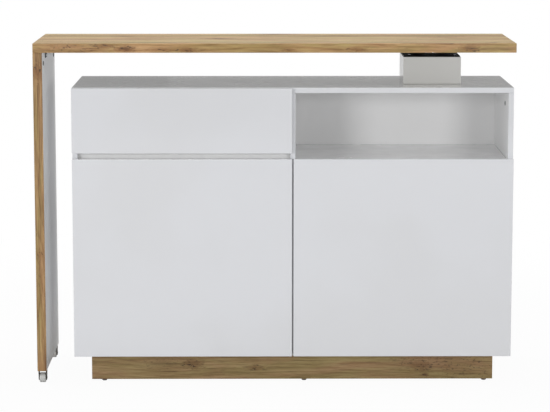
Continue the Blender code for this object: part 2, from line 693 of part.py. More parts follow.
def turntable_plate(name, plate_z, up, lip_radius, bore):
    """A square sheet with a raised race for the balls on its inner side, corner screws and a bore."""
    place = (PIVOT_X, PIVOT_Y, plate_z)
    sheet = as_mesh(plate(name, rounded_square(PLATE_SIZE, PLATE_CORNER), PLATE_SHEET, place))
    inner = RACE_RADIUS - RACE_HALF_WIDTH
    outer = RACE_RADIUS + RACE_HALF_WIDTH
    face = abs(BALL_Z - plate_z) - BALL_RADIUS - SEAT
    tip = face + RACE_LIP_HEIGHT
    lip_out = lip_radius + RACE_LIP
    if lip_radius > RACE_RADIUS:
        profile = [(lip_radius, face), (lip_radius, tip), (outer, tip), (outer, 0.0), (inner, 0.0),
                   (inner, face)]
    else:
        profile = [(inner, tip), (lip_out, tip), (lip_out, face), (outer, face), (outer, 0.0), (inner, 0.0)]
    race = turned(name + "_race", profile, place, steps=48, closed=True, collection=cutters)
    if not up:
        race.rotation_euler = (math.pi, 0.0, 0.0)
    cut(sheet, race, "UNION")
    seat_z = plate_z + (PLATE_SHEET / 2 if up else -PLATE_SHEET / 2)
    cut(sheet, screw_heads(name + "_heads", seat_z, up), "UNION")
    cut(sheet, drum(name + "_bore", bore, -BOARD, BOARD, place, collection=cutters))
    return finish(sheet, BLACK_STEEL)


def ball_ring():
    """The balls in their cage, one ring that rolls between the two races."""
    balls = []
    for i in range(BALL_COUNT):
        turn = math.tau * i / BALL_COUNT
        place = (PIVOT_X + RACE_RADIUS * math.cos(turn), PIVOT_Y + RACE_RADIUS * math.sin(turn), BALL_Z)
        bpy.ops.mesh.primitive_uv_sphere_add(segments=10, ring_count=8, radius=BALL_RADIUS, location=place)
        balls.append(bpy.context.active_object)
    half_width = RACE_HALF_WIDTH - RACE_LIP - 2 * SEAT
    half_sheet = CAGE_SHEET / 2
    section = [(RACE_RADIUS + half_width, half_sheet), (RACE_RADIUS + half_width, -half_sheet),
               (RACE_RADIUS - half_width, -half_sheet), (RACE_RADIUS - half_width, half_sheet)]
    ring = turned("turntable_ball_ring", section, (PIVOT_X, PIVOT_Y, BALL_Z), steps=48, closed=True)
    cut(ring, cutter_set("turntable_balls", balls), "UNION")
    finish(ring, STEEL)
    hang(moving("ball_ring_axis", (PIVOT_X, PIVOT_Y, BALL_Z)), [ring])


def turntable():
    """The ball turntable: lower plate, ball ring, upper plate and the stud they turn on."""
    lower_z = COLUMN_TOP + SEAT + PLATE_SHEET / 2
    upper_z = BAR_UNDER - SEAT - PLATE_SHEET / 2
    outer_lip = RACE_RADIUS + RACE_HALF_WIDTH - RACE_LIP
    inner_lip = RACE_RADIUS - RACE_HALF_WIDTH
    turntable_plate("turntable_lower_plate", lower_z, True, outer_lip, STUD_RADIUS + SEAT)
    upper = turntable_plate("turntable_upper_plate", upper_z, False, inner_lip, STUD_RADIUS + 2 * SEAT)
    ball_ring()
    low = COLUMN_TOP + 2 * SEAT
    flange = LOWER_PLATE_TOP + SEAT
    flange_top = flange + STUD_FLANGE_HEIGHT
    high = BAR_UNDER - 2 * SEAT
    profile = [(0.0, high), (STUD_RADIUS, high), (STUD_RADIUS, flange_top), (STUD_FLANGE_RADIUS, flange_top),
               (STUD_FLANGE_RADIUS, flange), (STUD_RADIUS, flange), (STUD_RADIUS, low), (0.0, low)]
    finish(turned("pivot_stud", profile, (PIVOT_X, PIVOT_Y, 0.0)), STEEL)
    return [upper]


def leg_fittings(leg):
    """Angle brackets in the corner under the bar board, and recesses for the cam covers."""
    brackets = []
    reach = BRACKET_LEG
    sheet = BRACKET_SHEET
    outline = [(0.0, 0.0), (0.0, -reach), (sheet, -reach), (sheet, -2 * sheet), (2 * sheet, -sheet),
               (reach, -sheet), (reach, 0.0)]
    for side, y in (("front", BAR_FRONT + BRACKET_FRONT_MARGIN), ("rear", BAR_BACK - BRACKET_BACK_MARGIN)):
        corner = (LEG_INNER + SEAT, y, BAR_UNDER - SEAT)
        bracket = plate("leg_bracket_" + side, outline, BRACKET_WIDTH, corner, (math.pi / 2, 0.0, 0.0))
        brackets.append(finish(as_mesh(bracket), DARK_STEEL))
    for side, y in (("front", BAR_FRONT + CAM_MARGIN), ("rear", BAR_BACK - CAM_MARGIN)):
        place = (LEG_INNER, y, BAR_UNDER - CAM_DROP)
        cut(leg, drum("cam_recess_" + side, CAM_RADIUS, -CAM_RECESS, CAM_RECESS, place, "X", 24, cutters))
    return brackets


def fork_outline():
    """Side view of a fork cheek in (along, up) from the axle: straight sides and a round lower end."""
    top = LEG_LIFT - WHEEL_RADIUS - SEAT
    half = FORK_LENGTH / 2
    radius = FORK_DROP_RADIUS
    shoulder = top - FORK_SHOULDER
    end = arc(0.0, 0.0, radius, 0, -180, 10)
    return [(half, top), (half, shoulder)] + end + [(-half, shoulder), (-half, top)]


def castor(side, y):
    """A fixed castor: a U fork bent from one sheet, a wheel with dished hubs and its axle."""
    name = "castor_fork_" + side
    centre = (LEG_MIDDLE_X, y, WHEEL_RADIUS)
    bridge_top = LEG_LIFT - SEAT
    half_width = FORK_WIDTH / 2
    # The cheeks' common side view, as wide as the fork, less the room between the cheeks
    fork = as_mesh(plate(name, fork_outline(), FORK_WIDTH, centre, (math.pi / 2, 0.0, math.pi / 2)))
    room_half = half_width - FORK_SHEET
    room = block(name + "_room", (LEG_MIDDLE_X - room_half, y - FORK_LENGTH, -WHEEL_RADIUS),
                 (LEG_MIDDLE_X + room_half, y + FORK_LENGTH, bridge_top - FORK_SHEET), cutters)
    cut(fork, room)
    end = FORK_WIDTH / 2
    head = [(0.0, end + AXLE_HEAD), (AXLE_HEAD_RADIUS, end + AXLE_HEAD_RIM), (AXLE_HEAD_RADIUS, end - SEAT),
            (AXLE_RADIUS, end - SEAT)]
    axle_profile = head + [(radius, -height) for radius, height in head[::-1]]
    cut(fork, turned(name + "_axle", axle_profile, centre, "X", 20, collection=cutters), "UNION")
    finish(fork, DARK_STEEL)
    half = WHEEL_WIDTH / 2
    bore = AXLE_RADIUS + AXLE_CLEARANCE
    tread = arc(WHEEL_RADIUS - WHEEL_ROUND, half - WHEEL_ROUND, WHEEL_ROUND, 90, 0, 3)
    tread += arc(WHEEL_RADIUS - WHEEL_ROUND, -half + WHEEL_ROUND, WHEEL_ROUND, 0, -90, 3)
    boss = half_width - FORK_SHEET - SEAT
    dish = half - HUB_DISH
    hub_out = bore + HUB_WALL
    upper_hub = [(bore, boss), (hub_out, boss), (hub_out, dish), (HUB_RADIUS, dish), (HUB_RADIUS, half)]
    lower_hub = [(radius, -height) for radius, height in upper_hub[::-1]]
    wheel = turned("castor_wheel_" + side, upper_hub + tread + lower_hub, centre, "X", 32, closed=True)
    finish(wheel, GREY_WHEEL)
    spin = moving("castor_axis_" + side, centre)
    hang(spin, [wheel])
    return fork, spin


def bar():
    """The turning bar: board, leg panel, fittings and castors, hung from the turntable's axis."""
    top = board("bar_board", (BAR_LEFT, BAR_FRONT, BAR_UNDER), (BAR_RIGHT, BAR_BACK, BAR_HEIGHT), OAK,
                BAR_ROUND)
    leg = board("leg_panel", (BAR_LEFT, BAR_FRONT, LEG_LIFT), (LEG_INNER, BAR_BACK, BAR_UNDER - SEAT), OAK,
                LEG_ROUND)
    pieces = [top, leg] + leg_fittings(leg) + turntable()
    for side, y in (("front", BAR_FRONT + CASTOR_MARGIN_FRONT), ("rear", BAR_BACK - CASTOR_MARGIN_BACK)):
        pieces += castor(side, y)
    hang(moving("bar_axis", (PIVOT_X, PIVOT_Y, COLUMN_TOP)), pieces)


def main():
    """Build every sub-assembly."""
    carcass()
    loose_shelves()
    plinth()
    grip_profile()
    drawer()
    doors()
    column()
    bar()
    bpy.context.view_layer.update()


main()
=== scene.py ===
"""Looks of a swivel bar cabinet: finishes, small hardware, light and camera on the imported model.

Sizes are in metres and colours are linear RGB.
"""

from __future__ import annotations

import json
import logging
import math
from dataclasses import dataclass, field
from enum import Enum

import bmesh
import bpy
from mathutils import Matrix, Vector

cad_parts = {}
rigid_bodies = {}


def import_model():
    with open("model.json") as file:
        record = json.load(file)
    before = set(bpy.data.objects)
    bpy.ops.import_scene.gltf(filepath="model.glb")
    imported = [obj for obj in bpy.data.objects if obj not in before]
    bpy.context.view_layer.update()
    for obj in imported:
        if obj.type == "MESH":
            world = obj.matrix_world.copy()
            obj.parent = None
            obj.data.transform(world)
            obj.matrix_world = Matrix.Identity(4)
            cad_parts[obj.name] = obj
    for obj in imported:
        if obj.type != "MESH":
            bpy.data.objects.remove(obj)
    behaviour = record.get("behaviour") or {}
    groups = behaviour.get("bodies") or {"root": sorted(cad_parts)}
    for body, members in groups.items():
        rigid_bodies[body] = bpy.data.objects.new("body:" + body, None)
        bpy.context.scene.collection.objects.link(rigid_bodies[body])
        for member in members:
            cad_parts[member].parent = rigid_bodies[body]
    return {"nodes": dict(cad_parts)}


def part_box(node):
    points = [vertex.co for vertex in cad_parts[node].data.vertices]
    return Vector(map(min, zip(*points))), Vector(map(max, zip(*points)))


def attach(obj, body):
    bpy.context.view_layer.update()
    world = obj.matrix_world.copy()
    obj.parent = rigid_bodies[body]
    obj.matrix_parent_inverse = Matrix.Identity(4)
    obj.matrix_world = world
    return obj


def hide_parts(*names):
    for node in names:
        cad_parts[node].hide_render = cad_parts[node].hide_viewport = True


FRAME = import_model()

LOG = logging.getLogger("bar_cabinet")
Socket = bpy.types.NodeSocket
Sockets = dict[str, Socket]
Shape = bmesh.types.BMesh
Triple = tuple[float, float, float]
Outline = tuple[tuple[float, float], ...]

# Edges sharper than these angles, in degrees, stay sharp when a CAD node or a new piece is shaded smooth
CAD_SHARP, NEW_SHARP = 30.0, 35.0
# The least cosine between a face's normal and the side that the face looks to
FACING = 0.99
# A pan head's outline from its seat up, in shares of its radius and height
HEAD_OUTLINE: Outline = ((1.0, 0.0), (1.0, 0.35), (0.93, 0.72), (0.72, 0.95))


class Side(Enum):
    """The ways that a face or a fitting can look, seen from the cabinet's front."""

    RIGHT = (1.0, 0.0, 0.0)
    LEFT = (-1.0, 0.0, 0.0)
    BACK = (0.0, 1.0, 0.0)
    TOP = (0.0, 0.0, 1.0)
    UNDER = (0.0, 0.0, -1.0)


class Grain(Enum):
    """How a wood grain or a brushed line runs, as the turn that brings it to X."""

    ALONG = (0.0, 0.0, 0.0)
    UPRIGHT = (0.0, math.pi / 2, 0.0)
    DEEP = (0.0, 0.0, math.pi / 2)


class Body(Enum):
    """The moving bodies that new pieces ride on."""

    CABINET = "cabinet"
    BAR = "bar"
    CASTOR_FRONT = "castor_front"
    CASTOR_REAR = "castor_rear"
    DRAWER = "drawer"
    DOOR_LEFT = "door_left"
    DOOR_RIGHT = "door_right"


class Slot(Enum):
    """The record's material slots; no new piece here takes its finish from them."""

    WHITE_GLOSS = "white_gloss"
    WHITE_BOARD = "white_board"
    OAK = "oak_decor"
    ZINC = "zinc_steel"
    DARK_STEEL = "dark_steel"
    WHEEL = "grey_wheel"
    GREY_PLASTIC = "grey_plastic"


class Effect(Enum):
    """The shader node groups that finishes share."""

    DUST = "settled_dust"
    PEBBLE = "pebble"
    BRUSHED = "brushed"
    RUB = "rub_marks"
    SPOT = "knot_spot"
    OAK = "knotty_oak"


class Tree:
    """A node tree with short calls to add nodes and links."""

    def __init__(self, tree: bpy.types.NodeTree) -> None:
        """Wrap the node tree of a material, a world or a group."""
        self.tree = tree

    def feed(self, socket: Socket, value: object) -> None:
        """Link an input to another socket, or set its own value.

        Args:
            socket: The input.
            value: A socket, a number, or three numbers for a vector or a colour.
        """
        if isinstance(value, Socket):
            self.tree.links.new(value, socket)
        elif isinstance(value, tuple) and len(socket.default_value) > len(value):
            socket.default_value = (*value, 1.0)
        else:
            socket.default_value = value

    def add(self, kind: str, inputs: dict[int | str, object] | None = None,
            **settings: object) -> bpy.types.Node:
        """Add a shader node, set its properties and feed its inputs.

        Args:
            kind: The node's type, without the ShaderNode in front.
            inputs: Names or numbers of inputs, each with what feeds it.
            **settings: Property names and values.

        Returns:
            The new node.
        """
        node = self.tree.nodes.new("ShaderNode" + kind)
        for name, value in settings.items():
            setattr(node, name, value)
        for key, value in (inputs or {}).items():
            self.feed(node.inputs[key], value)
        return node

    def math(self, operation: str, *values: Socket | float, clamp: bool = False) -> Socket:
        """The result of a Math node fed with values, kept between 0 and 1 where clamp says so."""
        return self.add("Math", dict(enumerate(values)), operation=operation, use_clamp=clamp).outputs[0]

    def plus(self, first: Socket | float, second: Socket | float) -> Socket:
        """The sum of two values."""
        return self.math("ADD", first, second)

    def minus(self, first: Socket | float, second: Socket | float) -> Socket:
        """The first value less the second."""
        return self.math("SUBTRACT", first, second)

    def times(self, first: Socket | float, second: Socket | float) -> Socket:
        """The product of two values."""
        return self.math("MULTIPLY", first, second)

    def most(self, first: Socket | float, second: Socket | float) -> Socket:
        """The larger of two values."""
        return self.math("MAXIMUM", first, second)

    def vector(self, operation: str, *values: Socket) -> Socket:
        """The result of a Vector Math node fed with values: a number for LENGTH, and else a vector."""
        node = self.add("VectorMath", dict(enumerate(values)), operation=operation)
        return node.outputs["Value" if operation == "LENGTH" else "Vector"]

    def spread(self, value: Socket, low: float, high: float, to_low: float = 0.0,
               to_high: float = 1.0) -> Socket:
        """A value mapped smoothly and clamped, so that low gives to_low and high gives to_high."""
        inputs = {"Value": value, "From Min": low, "From Max": high, "To Min": to_low, "To Max": to_high}
        return self.add("MapRange", inputs, interpolation_type="SMOOTHSTEP").outputs["Result"]

    def mix(self, factor: Socket | float, first: Socket | Triple, second: Socket | Triple,
            blend: str = "MIX") -> Socket:
        """Two colours blended: the factor is how much of the second shows, from 0 to 1."""
        inputs = {0: factor, 6: first, 7: second}
        return self.add("Mix", inputs, data_type="RGBA", blend_type=blend).outputs[2]

    def noise(self, place: Socket, scale: Socket | float, detail: float = 3.0, roughness: float = 0.55,
              distortion: float = 0.0) -> Socket:
        """Add a noise texture.

        Args:
            place: Its coordinates.
            scale: Its scale.
            detail: How many finer layers it has.
            roughness: How strong the finer layers are.
            distortion: How much it is warped.

        Returns:
            Its value.
        """
        inputs = {"Vector": place, "Scale": scale, "Detail": detail, "Roughness": roughness,
                  "Distortion": distortion}
        return self.add("TexNoise", inputs).outputs[0]

    def stretched(self, place: Socket, scale: Triple, offset: Triple = (0.0, 0.0, 0.0)) -> Socket:
        """Coordinates scaled, then shifted."""
        return self.add("Mapping", {"Vector": place, "Scale": scale, "Location": offset}).outputs[0]

    def grained(self, place: Socket, grain: Grain, offset: Triple = (0.0, 0.0, 0.0)) -> Socket:
        """Coordinates turned so that X runs along the grain, then shifted."""
        return self.add("Mapping", {"Vector": place, "Rotation": grain.value, "Location": offset}).outputs[0]

    def streak(self, place: Socket, along: float, across: float, detail: float = 2.0, roughness: float = 0.55,
               distortion: float = 0.0, offset: Triple = (0.0, 0.0, 0.0)) -> Socket:
        """Noise drawn out along X, from its scales along X and across it, with its coordinates shifted."""
        drawn = self.stretched(place, (along, across, across), offset)
        return self.noise(drawn, 1.0, detail, roughness, distortion)


EARLY_WOOD, MIDDLE_WOOD, LATE_WOOD = (0.175, 0.094, 0.033), (0.370, 0.238, 0.102), (0.540, 0.382, 0.192)
OLIVE_DRIFT, RED_DRIFT = (0.95, 1.02, 0.86), (1.07, 0.95, 0.97)
KNOT_BROWN, KNOT_HEART = (0.225, 0.092, 0.026), (0.088, 0.033, 0.009)
CRACK_DARK, PORE_DARK = (0.018, 0.010, 0.006), (0.105, 0.056, 0.023)


class Groups:
    """Shader node groups for effects that several finishes share, each built once."""

    made: dict[Effect, bpy.types.NodeTree] = {}

    @classmethod
    def start(cls, effect: Effect, inputs: dict[str, float], outputs: tuple[str, ...],
              vectors: tuple[str, ...] = ("Vector",)) -> tuple[Tree, Sockets, Sockets]:
        """Begin a group with named sockets.

        Args:
            effect: The effect that the group makes.
            inputs: The number inputs with their first values.
            outputs: The outputs; one named Color is a colour and the others are numbers.
            vectors: The vector inputs.

        Returns:
            The group's tree, what its inputs give and what its outputs take.
        """
        group = bpy.data.node_groups.new(effect.value, "ShaderNodeTree")
        for label in vectors:
            group.interface.new_socket(name=label, in_out="INPUT", socket_type="NodeSocketVector")
        for label, value in inputs.items():
            socket = group.interface.new_socket(name=label, in_out="INPUT", socket_type="NodeSocketFloat")
            socket.default_value = value
        for label in outputs:
            kind = "NodeSocketColor" if label == "Color" else "NodeSocketFloat"
            group.interface.new_socket(name=label, in_out="OUTPUT", socket_type=kind)
        cls.made[effect] = group
        given, result = (group.nodes.new("NodeGroup" + end) for end in ("Input", "Output"))
        return Tree(group), given.outputs, result.inputs

    @classmethod
    def place(cls, tree: Tree, effect: Effect, place: Socket, **values: object) -> Sockets:
        """A group's outputs in a tree; values are named as its inputs, in small letters with underscores."""
        inputs = {label.replace("_", " ").title(): value for label, value in values.items()}
        return tree.add("Group", {"Vector": place, **inputs}, node_tree=cls.made[effect]).outputs

    @classmethod
    def build(cls) -> None:
        """Build every shared group."""
        for make in (cls.dust, cls.pebble, cls.brushed, cls.rub, cls.spot, cls.oak):
            make()

    @classmethod
    def dust(cls) -> None:
        """Faint settled dust on faces that look up, with fine specks."""
        tree, given, result = cls.start(Effect.DUST, {"Amount": 0.2}, ("Mask",))
        normal = tree.add("NewGeometry").outputs["Normal"]
        upward = tree.spread(tree.add("SeparateXYZ", {0: normal}).outputs[2], 0.5, 1.0)
        cloud = tree.spread(tree.noise(given["Vector"], 9.0, 4.0), 0.35, 0.75)
        speck = tree.spread(tree.noise(given["Vector"], 900.0, 1.0), 0.68, 0.78)
        settled = tree.times(tree.math("MULTIPLY_ADD", cloud, 0.6, tree.times(speck, 0.4)), upward)
        tree.feed(result["Mask"], tree.math("MULTIPLY", settled, given["Amount"], clamp=True))

    @classmethod
    def pebble(cls) -> None:
        """The fine pebble of melamine and powder coat, and the slow waves of a film on board."""
        tree, given, result = cls.start(
            Effect.PEBBLE, {"Fine Scale": 700.0, "Wave Scale": 14.0, "Wave Share": 0.5}, ("Height", "Tone"))
        fine = tree.noise(given["Vector"], given["Fine Scale"], 2.0, 0.5)
        wave = tree.noise(given["Vector"], given["Wave Scale"], 2.0, 0.5)
        both = tree.add("Mix", {0: given["Wave Share"], 2: fine, 3: wave}, data_type="FLOAT")
        tree.feed(result["Height"], both.outputs[0])
        tree.feed(result["Tone"], tree.noise(given["Vector"], 2.2, 2.0))

    @classmethod
    def brushed(cls) -> None:
        """Drawn or brushed lines along X, with small stains."""
        tree, given, result = cls.start(Effect.BRUSHED, {"Stain Scale": 30.0}, ("Line", "Stain"))
        lines = tree.streak(given["Vector"], 14.0, 2200.0, 4.0, 0.7)
        stains = tree.noise(given["Vector"], given["Stain Scale"], 2.0, 0.5)
        tree.feed(result["Line"], tree.spread(lines, 0.3, 0.7))
        tree.feed(result["Stain"], tree.spread(stains, 0.4, 0.75))

    @classmethod
    def rub(cls) -> None:
        """Short rub marks: thin scratches in changing directions."""
        tree, given, result = cls.start(Effect.RUB, {"Amount": 0.2}, ("Mask",))
        swirl = tree.add("TexNoise", {"Vector": given["Vector"], "Scale": 3.0}).outputs["Color"]
        warped = tree.vector("ADD", given["Vector"], swirl)
        line = tree.spread(tree.noise(tree.stretched(warped, (6.0, 380.0, 110.0)), 1.0, 2.0), 0.70, 0.76)
        patch = tree.spread(tree.noise(given["Vector"], 7.0, 2.0), 0.55, 0.7)
        tree.feed(result["Mask"], tree.math("MULTIPLY", tree.times(line, patch), given["Amount"], clamp=True))

    @classmethod
    def spot(cls) -> None:
        """A soft, ragged mask round one knot."""
        tree, given, result = cls.start(
            Effect.SPOT, {"Strength": 1.0}, ("Mask",), ("Vector", "Centre", "Reach"))
        away = tree.vector("SUBTRACT", given["Vector"], given["Centre"])
        scaled = tree.vector("DIVIDE", away, given["Reach"])
        ragged = tree.times(tree.minus(tree.noise(scaled, 2.2), 0.5), 0.9)
        mask = tree.spread(tree.plus(tree.vector("LENGTH", scaled), ragged), 0.0, 1.15, 1.0, 0.0)
        tree.feed(result["Mask"], tree.times(mask, given["Strength"]))

    @classmethod
    def oak(cls) -> None:
        """Knotty oak with staves, growth rings, knots, short cracks and pores; the grain runs along X."""
        tree, given, result = cls.start(
            Effect.OAK, {"Spot": 0.0, "Knot Amount": 1.0, "Stave Width": 0.12}, ("Color", "Height", "Gloss"))
        # Staves: each strip takes its own tone and its own part of the figure
        place = tree.add("SeparateXYZ", {0: given["Vector"]}).outputs
        strip = tree.math("FLOOR", tree.math("DIVIDE", tree.plus(place[1], place[2]), given["Stave Width"]))
        shade = tree.add("TexWhiteNoise", noise_dimensions="1D", inputs={"W": strip}).outputs["Value"]
        shift = tree.add("CombineXYZ", {0: tree.times(shade, 3.7), 1: tree.times(shade, 0.9)}).outputs[0]
        figure = tree.vector("ADD", given["Vector"], shift)
        # Knots: scattered points drawn out along the grain, and the placed spots
        points = {"Vector": tree.stretched(figure, (2.1, 8.0, 8.0)), "Scale": 1.0, "Randomness": 0.9}
        reach = tree.add("TexVoronoi", points, feature="F1").outputs["Distance"]
        heart, halo = (
            tree.most(tree.times(tree.spread(reach, inner, outer, 1.0, 0.0), given["Knot Amount"]),
                      tree.spread(given["Spot"], faint, full))
            for inner, outer, faint, full in ((0.02, 0.12, 0.62, 0.95), (0.06, 0.40, 0.0, 0.7)))
        # Growth rings, bent by slow noise and round the knots
        bend = tree.math("MULTIPLY_ADD", tree.streak(figure, 0.9, 5.0, 2.0, 0.5), 9.0, tree.times(halo, 3.0))
        ring = tree.add("SeparateXYZ", {0: tree.stretched(figure, (0.5, 62.0, 62.0))}).outputs
        phase = tree.plus(tree.plus(tree.plus(ring[1], ring[2]), ring[0]), bend)
        late = tree.spread(tree.math("FRACT", phase), 0.45, 0.98)
        # Streaks at three widths, and slow drifts between olive and reddish wood
        fine = tree.streak(figure, 9.0, 230.0, 3.0, 0.65)
        middle = tree.streak(figure, 5.0, 85.0, 4.0, 0.7, 0.6)
        broad = tree.streak(figure, 1.6, 16.0, 3.0, 0.6, 0.5)
        drift = tree.streak(figure, 3.4, 24.0, 3.0, 0.6, 0.8)
        # Pores, and thin broken cracks round the knots and here and there along the grain
        pore = tree.spread(tree.streak(figure, 30.0, 700.0), 0.58, 0.70)
        wave = tree.streak(figure, 42.0, 125.0, 2.0, 0.5, 0.8)
        ridge = tree.spread(tree.math("ABSOLUTE", tree.minus(wave, 0.5)), 0.0, 0.055, 1.0, 0.0)
        broken = tree.spread(tree.streak(figure, 55.0, 150.0, offset=(3.1, 1.7, 0.4)), 0.47, 0.58)
        lone = tree.spread(tree.streak(figure, 7.0, 60.0, offset=(9.0, 2.0, 5.0)), 0.64, 0.72, 0.0, 0.7)
        crack = tree.times(tree.times(ridge, broken), tree.most(tree.spread(halo, 0.10, 0.55), lone))
        # Colour: the streaks, staves and rings pick a tone of wood, and the dark parts go over it
        streaks = tree.plus(tree.times(fine, 0.85), tree.times(middle, 1.05))
        streaks = tree.plus(streaks, tree.times(broad, 0.70))
        staved = tree.plus(streaks, tree.times(tree.minus(shade, 0.5), 0.28))
        ramp = tree.add("ValToRGB", {0: tree.minus(tree.minus(staved, 0.74), tree.times(late, 0.13))})
        ramp.color_ramp.elements.new(0.5)
        tones = ((0.16, EARLY_WOOD), (0.50, MIDDLE_WOOD), (0.84, LATE_WOOD))
        for stop, (position, color) in zip(ramp.color_ramp.elements, tones):
            stop.position = position
            stop.color = (*color, 1.0)
        hue = tree.mix(tree.spread(drift, 0.36, 0.64), OLIVE_DRIFT, RED_DRIFT)
        wood = tree.mix(1.0, ramp.outputs[0], hue, "MULTIPLY")
        for mask, share, color in ((halo, 0.62, KNOT_BROWN), (heart, 0.70, KNOT_HEART),
                                   (crack, 0.95, CRACK_DARK), (pore, 0.42, PORE_DARK)):
            wood = tree.mix(tree.times(mask, share), wood, color)
        tree.feed(result["Color"], wood)
        relief = tree.minus(tree.times(late, 0.25), tree.times(pore, 0.55))
        tree.feed(result["Height"], tree.minus(relief, tree.times(crack, 0.8)))
        tree.feed(result["Gloss"], tree.plus(tree.times(late, 0.5), tree.times(fine, 0.5)))


class Surface:
    """A finish's material in the making: its tree, its shader, its coordinates on the object and its wear."""

    def __init__(self, finish: Finish) -> None:
        """Start the material and set what is the same all over it on its shader.

        Args:
            finish: The finish.
        """
        self.finish = finish
        self.material = bpy.data.materials.new(finish.name)
        self.material.use_nodes = True
        self.tree = Tree(self.material.node_tree)
        self.shader = self.material.node_tree.nodes["Principled BSDF"]
        for label, value in (("Base Color", finish.color), ("Roughness", finish.roughness),
                             ("Metallic", finish.metallic), ("Specular IOR Level", finish.specular),
                             ("Coat Weight", finish.coat), ("Coat Roughness", finish.coat_roughness)):
            self.tree.feed(self.shader.inputs[label], value)
        self.place = self.tree.add("TexCoord").outputs["Object"]
        self.rub = self.effect(Effect.RUB, amount=finish.rub)["Mask"] if finish.rub else None
        self.dust = self.effect(Effect.DUST, amount=finish.dust)["Mask"] if finish.dust else None

    def effect(self, effect: Effect, place: Socket | None = None, **values: object) -> Sockets:
        """What a shared effect gives on the surface, at the object's own coordinates or at others."""
        return Groups.place(self.tree, effect, self.place if place is None else place, **values)

    def pebble(self) -> tuple[Socket, Socket]:
        """Put the finish's own pebble on the surface.

        Returns:
            The pebble's height, and its slow tone.
        """
        fine, wave, share = self.finish.pebble
        given = self.effect(Effect.PEBBLE, fine_scale=fine, wave_scale=wave, wave_share=share)
        return given["Height"], given["Tone"]

    def done(self, color: Socket, rough: Socket, height: Socket) -> bpy.types.Material:
        """Lay the dust on the colour and feed the shader what changes over the surface.

        Args:
            color: The base colour.
            rough: The roughness.
            height: The relief's height.

        Returns:
            The finished material.
        """
        relief = {"Height": height, "Strength": self.finish.relief, "Distance": self.finish.depth}
        normal = self.tree.add("Bump", relief).outputs[0]
        if self.dust is not None:
            color = self.tree.mix(self.dust, color, self.finish.dusty)
        for label, value in (("Base Color", color), ("Roughness", rough), ("Normal", normal)):
            self.tree.feed(self.shader.inputs[label], value)
        return self.material


@dataclass(frozen=True)
class Finish:
    """A plain moulded finish with a fine pebble and a slow change of tone, and what every finish has.

    Attributes:
        name: The material's name.
        color: Base colour.
        roughness: Middle roughness.
        metallic: Metallic value.
        coat: Coat weight, for gloss films.
        specular: Specular level.
        coat_roughness: The coat's roughness.
        relief: The strength of its bump.
        depth: The height of its bump.
        pebble: The scales of its fine pebble and of its waves, and the waves' share of the relief.
        rub: How strong its rub marks are.
        dust: How much dust lies on what looks up.
        dusty: The dust's colour.
        fade: What its colour is multiplied by where it is darkest.
        worn: The colour of its rub marks.
        wear: How much of that colour they show.
        sheen: What the pebble adds to its roughness, at the least and at the most.
    """

    name: str
    color: Triple
    roughness: float = 0.4
    metallic: float = 0.0
    coat: float = 0.0
    specular: float = 0.5
    coat_roughness: float = 0.06
    relief: float = 0.25
    depth: float = 0.0002
    pebble: Triple = (900.0, 40.0, 0.2)
    rub: float = 0.0
    dust: float = 0.0
    dusty: Triple = (0.45, 0.43, 0.40)
    fade: float = 0.86
    worn: Triple = (0.2, 0.2, 0.2)
    wear: float = 0.7
    sheen: tuple[float, float] = (-0.05, 0.08)

    def material(self) -> bpy.types.Material:
        """The finish's material, made at its first use."""
        return bpy.data.materials.get(self.name) or self.make()

    def faded(self, share: float) -> Triple:
        """The base colour times a share, at most 1."""
        return tuple(min(1.0, share * part) for part in self.color)

    def make(self) -> bpy.types.Material:
        """Build the nodes.

        Returns:
            The new material.
        """
        skin = Surface(self)
        tree = skin.tree
        height, tone = skin.pebble()
        color = tree.mix(tree.spread(tone, 0.35, 0.65), self.color, self.faded(self.fade))
        if skin.rub is not None:
            color = tree.mix(tree.times(skin.rub, self.wear), color, self.worn)
        least, most = (self.roughness + change for change in self.sheen)
        return skin.done(color, tree.spread(height, 0.3, 0.7, least, most), height)


@dataclass(frozen=True)
class GlossFilm(Finish):
    """White high-gloss film on board: slow waves, faint rub marks and a little dust on top.

    Attributes:
        warm: What the film's colour is multiplied by where it is warmer.
    """

    relief: float = 0.02
    pebble: Triple = (260.0, 9.0, 0.85)
    rub: float = 0.02
    dust: float = 0.05
    dusty: Triple = (0.66, 0.64, 0.60)
    warm: Triple = (0.975, 0.972, 0.965)

    def make(self) -> bpy.types.Material:
        """Build the nodes.

        Returns:
            The new material.
        """
        skin = Surface(self)
        tree = skin.tree
        height, tone = skin.pebble()
        warmer = tuple(part * share for part, share in zip(self.color, self.warm))
        toned = tree.mix(tree.spread(tone, 0.4, 0.6), self.color, warmer)
        rough = tree.spread(height, 0.3, 0.7, self.roughness * 0.8, self.roughness * 1.25)
        marked = tree.plus(rough, tree.times(skin.rub, 0.5))
        return skin.done(toned, tree.math("ADD", marked, skin.dust, clamp=True), height)


@dataclass(frozen=True)
class Melamine(Finish):
    """White melamine face: a fine pebble and small scuffs."""

    relief: float = 0.30
    depth: float = 0.00012
    pebble: Triple = (1100.0, 60.0, 0.25)
    rub: float = 0.15
    dust: float = 0.08
    dusty: Triple = (0.60, 0.58, 0.54)
    fade: float = 0.97
    worn: Triple = (0.50, 0.49, 0.47)
    wear: float = 0.4
    sheen: tuple[float, float] = (-0.06, 0.08)


@dataclass(frozen=True)
class Coated(Finish):
    """Powder-coated or moulded surface: a clear pebble, rubbed paler on worn spots."""

    relief: float = 0.4
    depth: float = 0.0001
    pebble: Triple = (1400.0, 90.0, 0.3)
    rub: float = 0.8
    dust: float = 0.2
    fade: float = 1.0
    sheen: tuple[float, float] = (-0.08, 0.10)


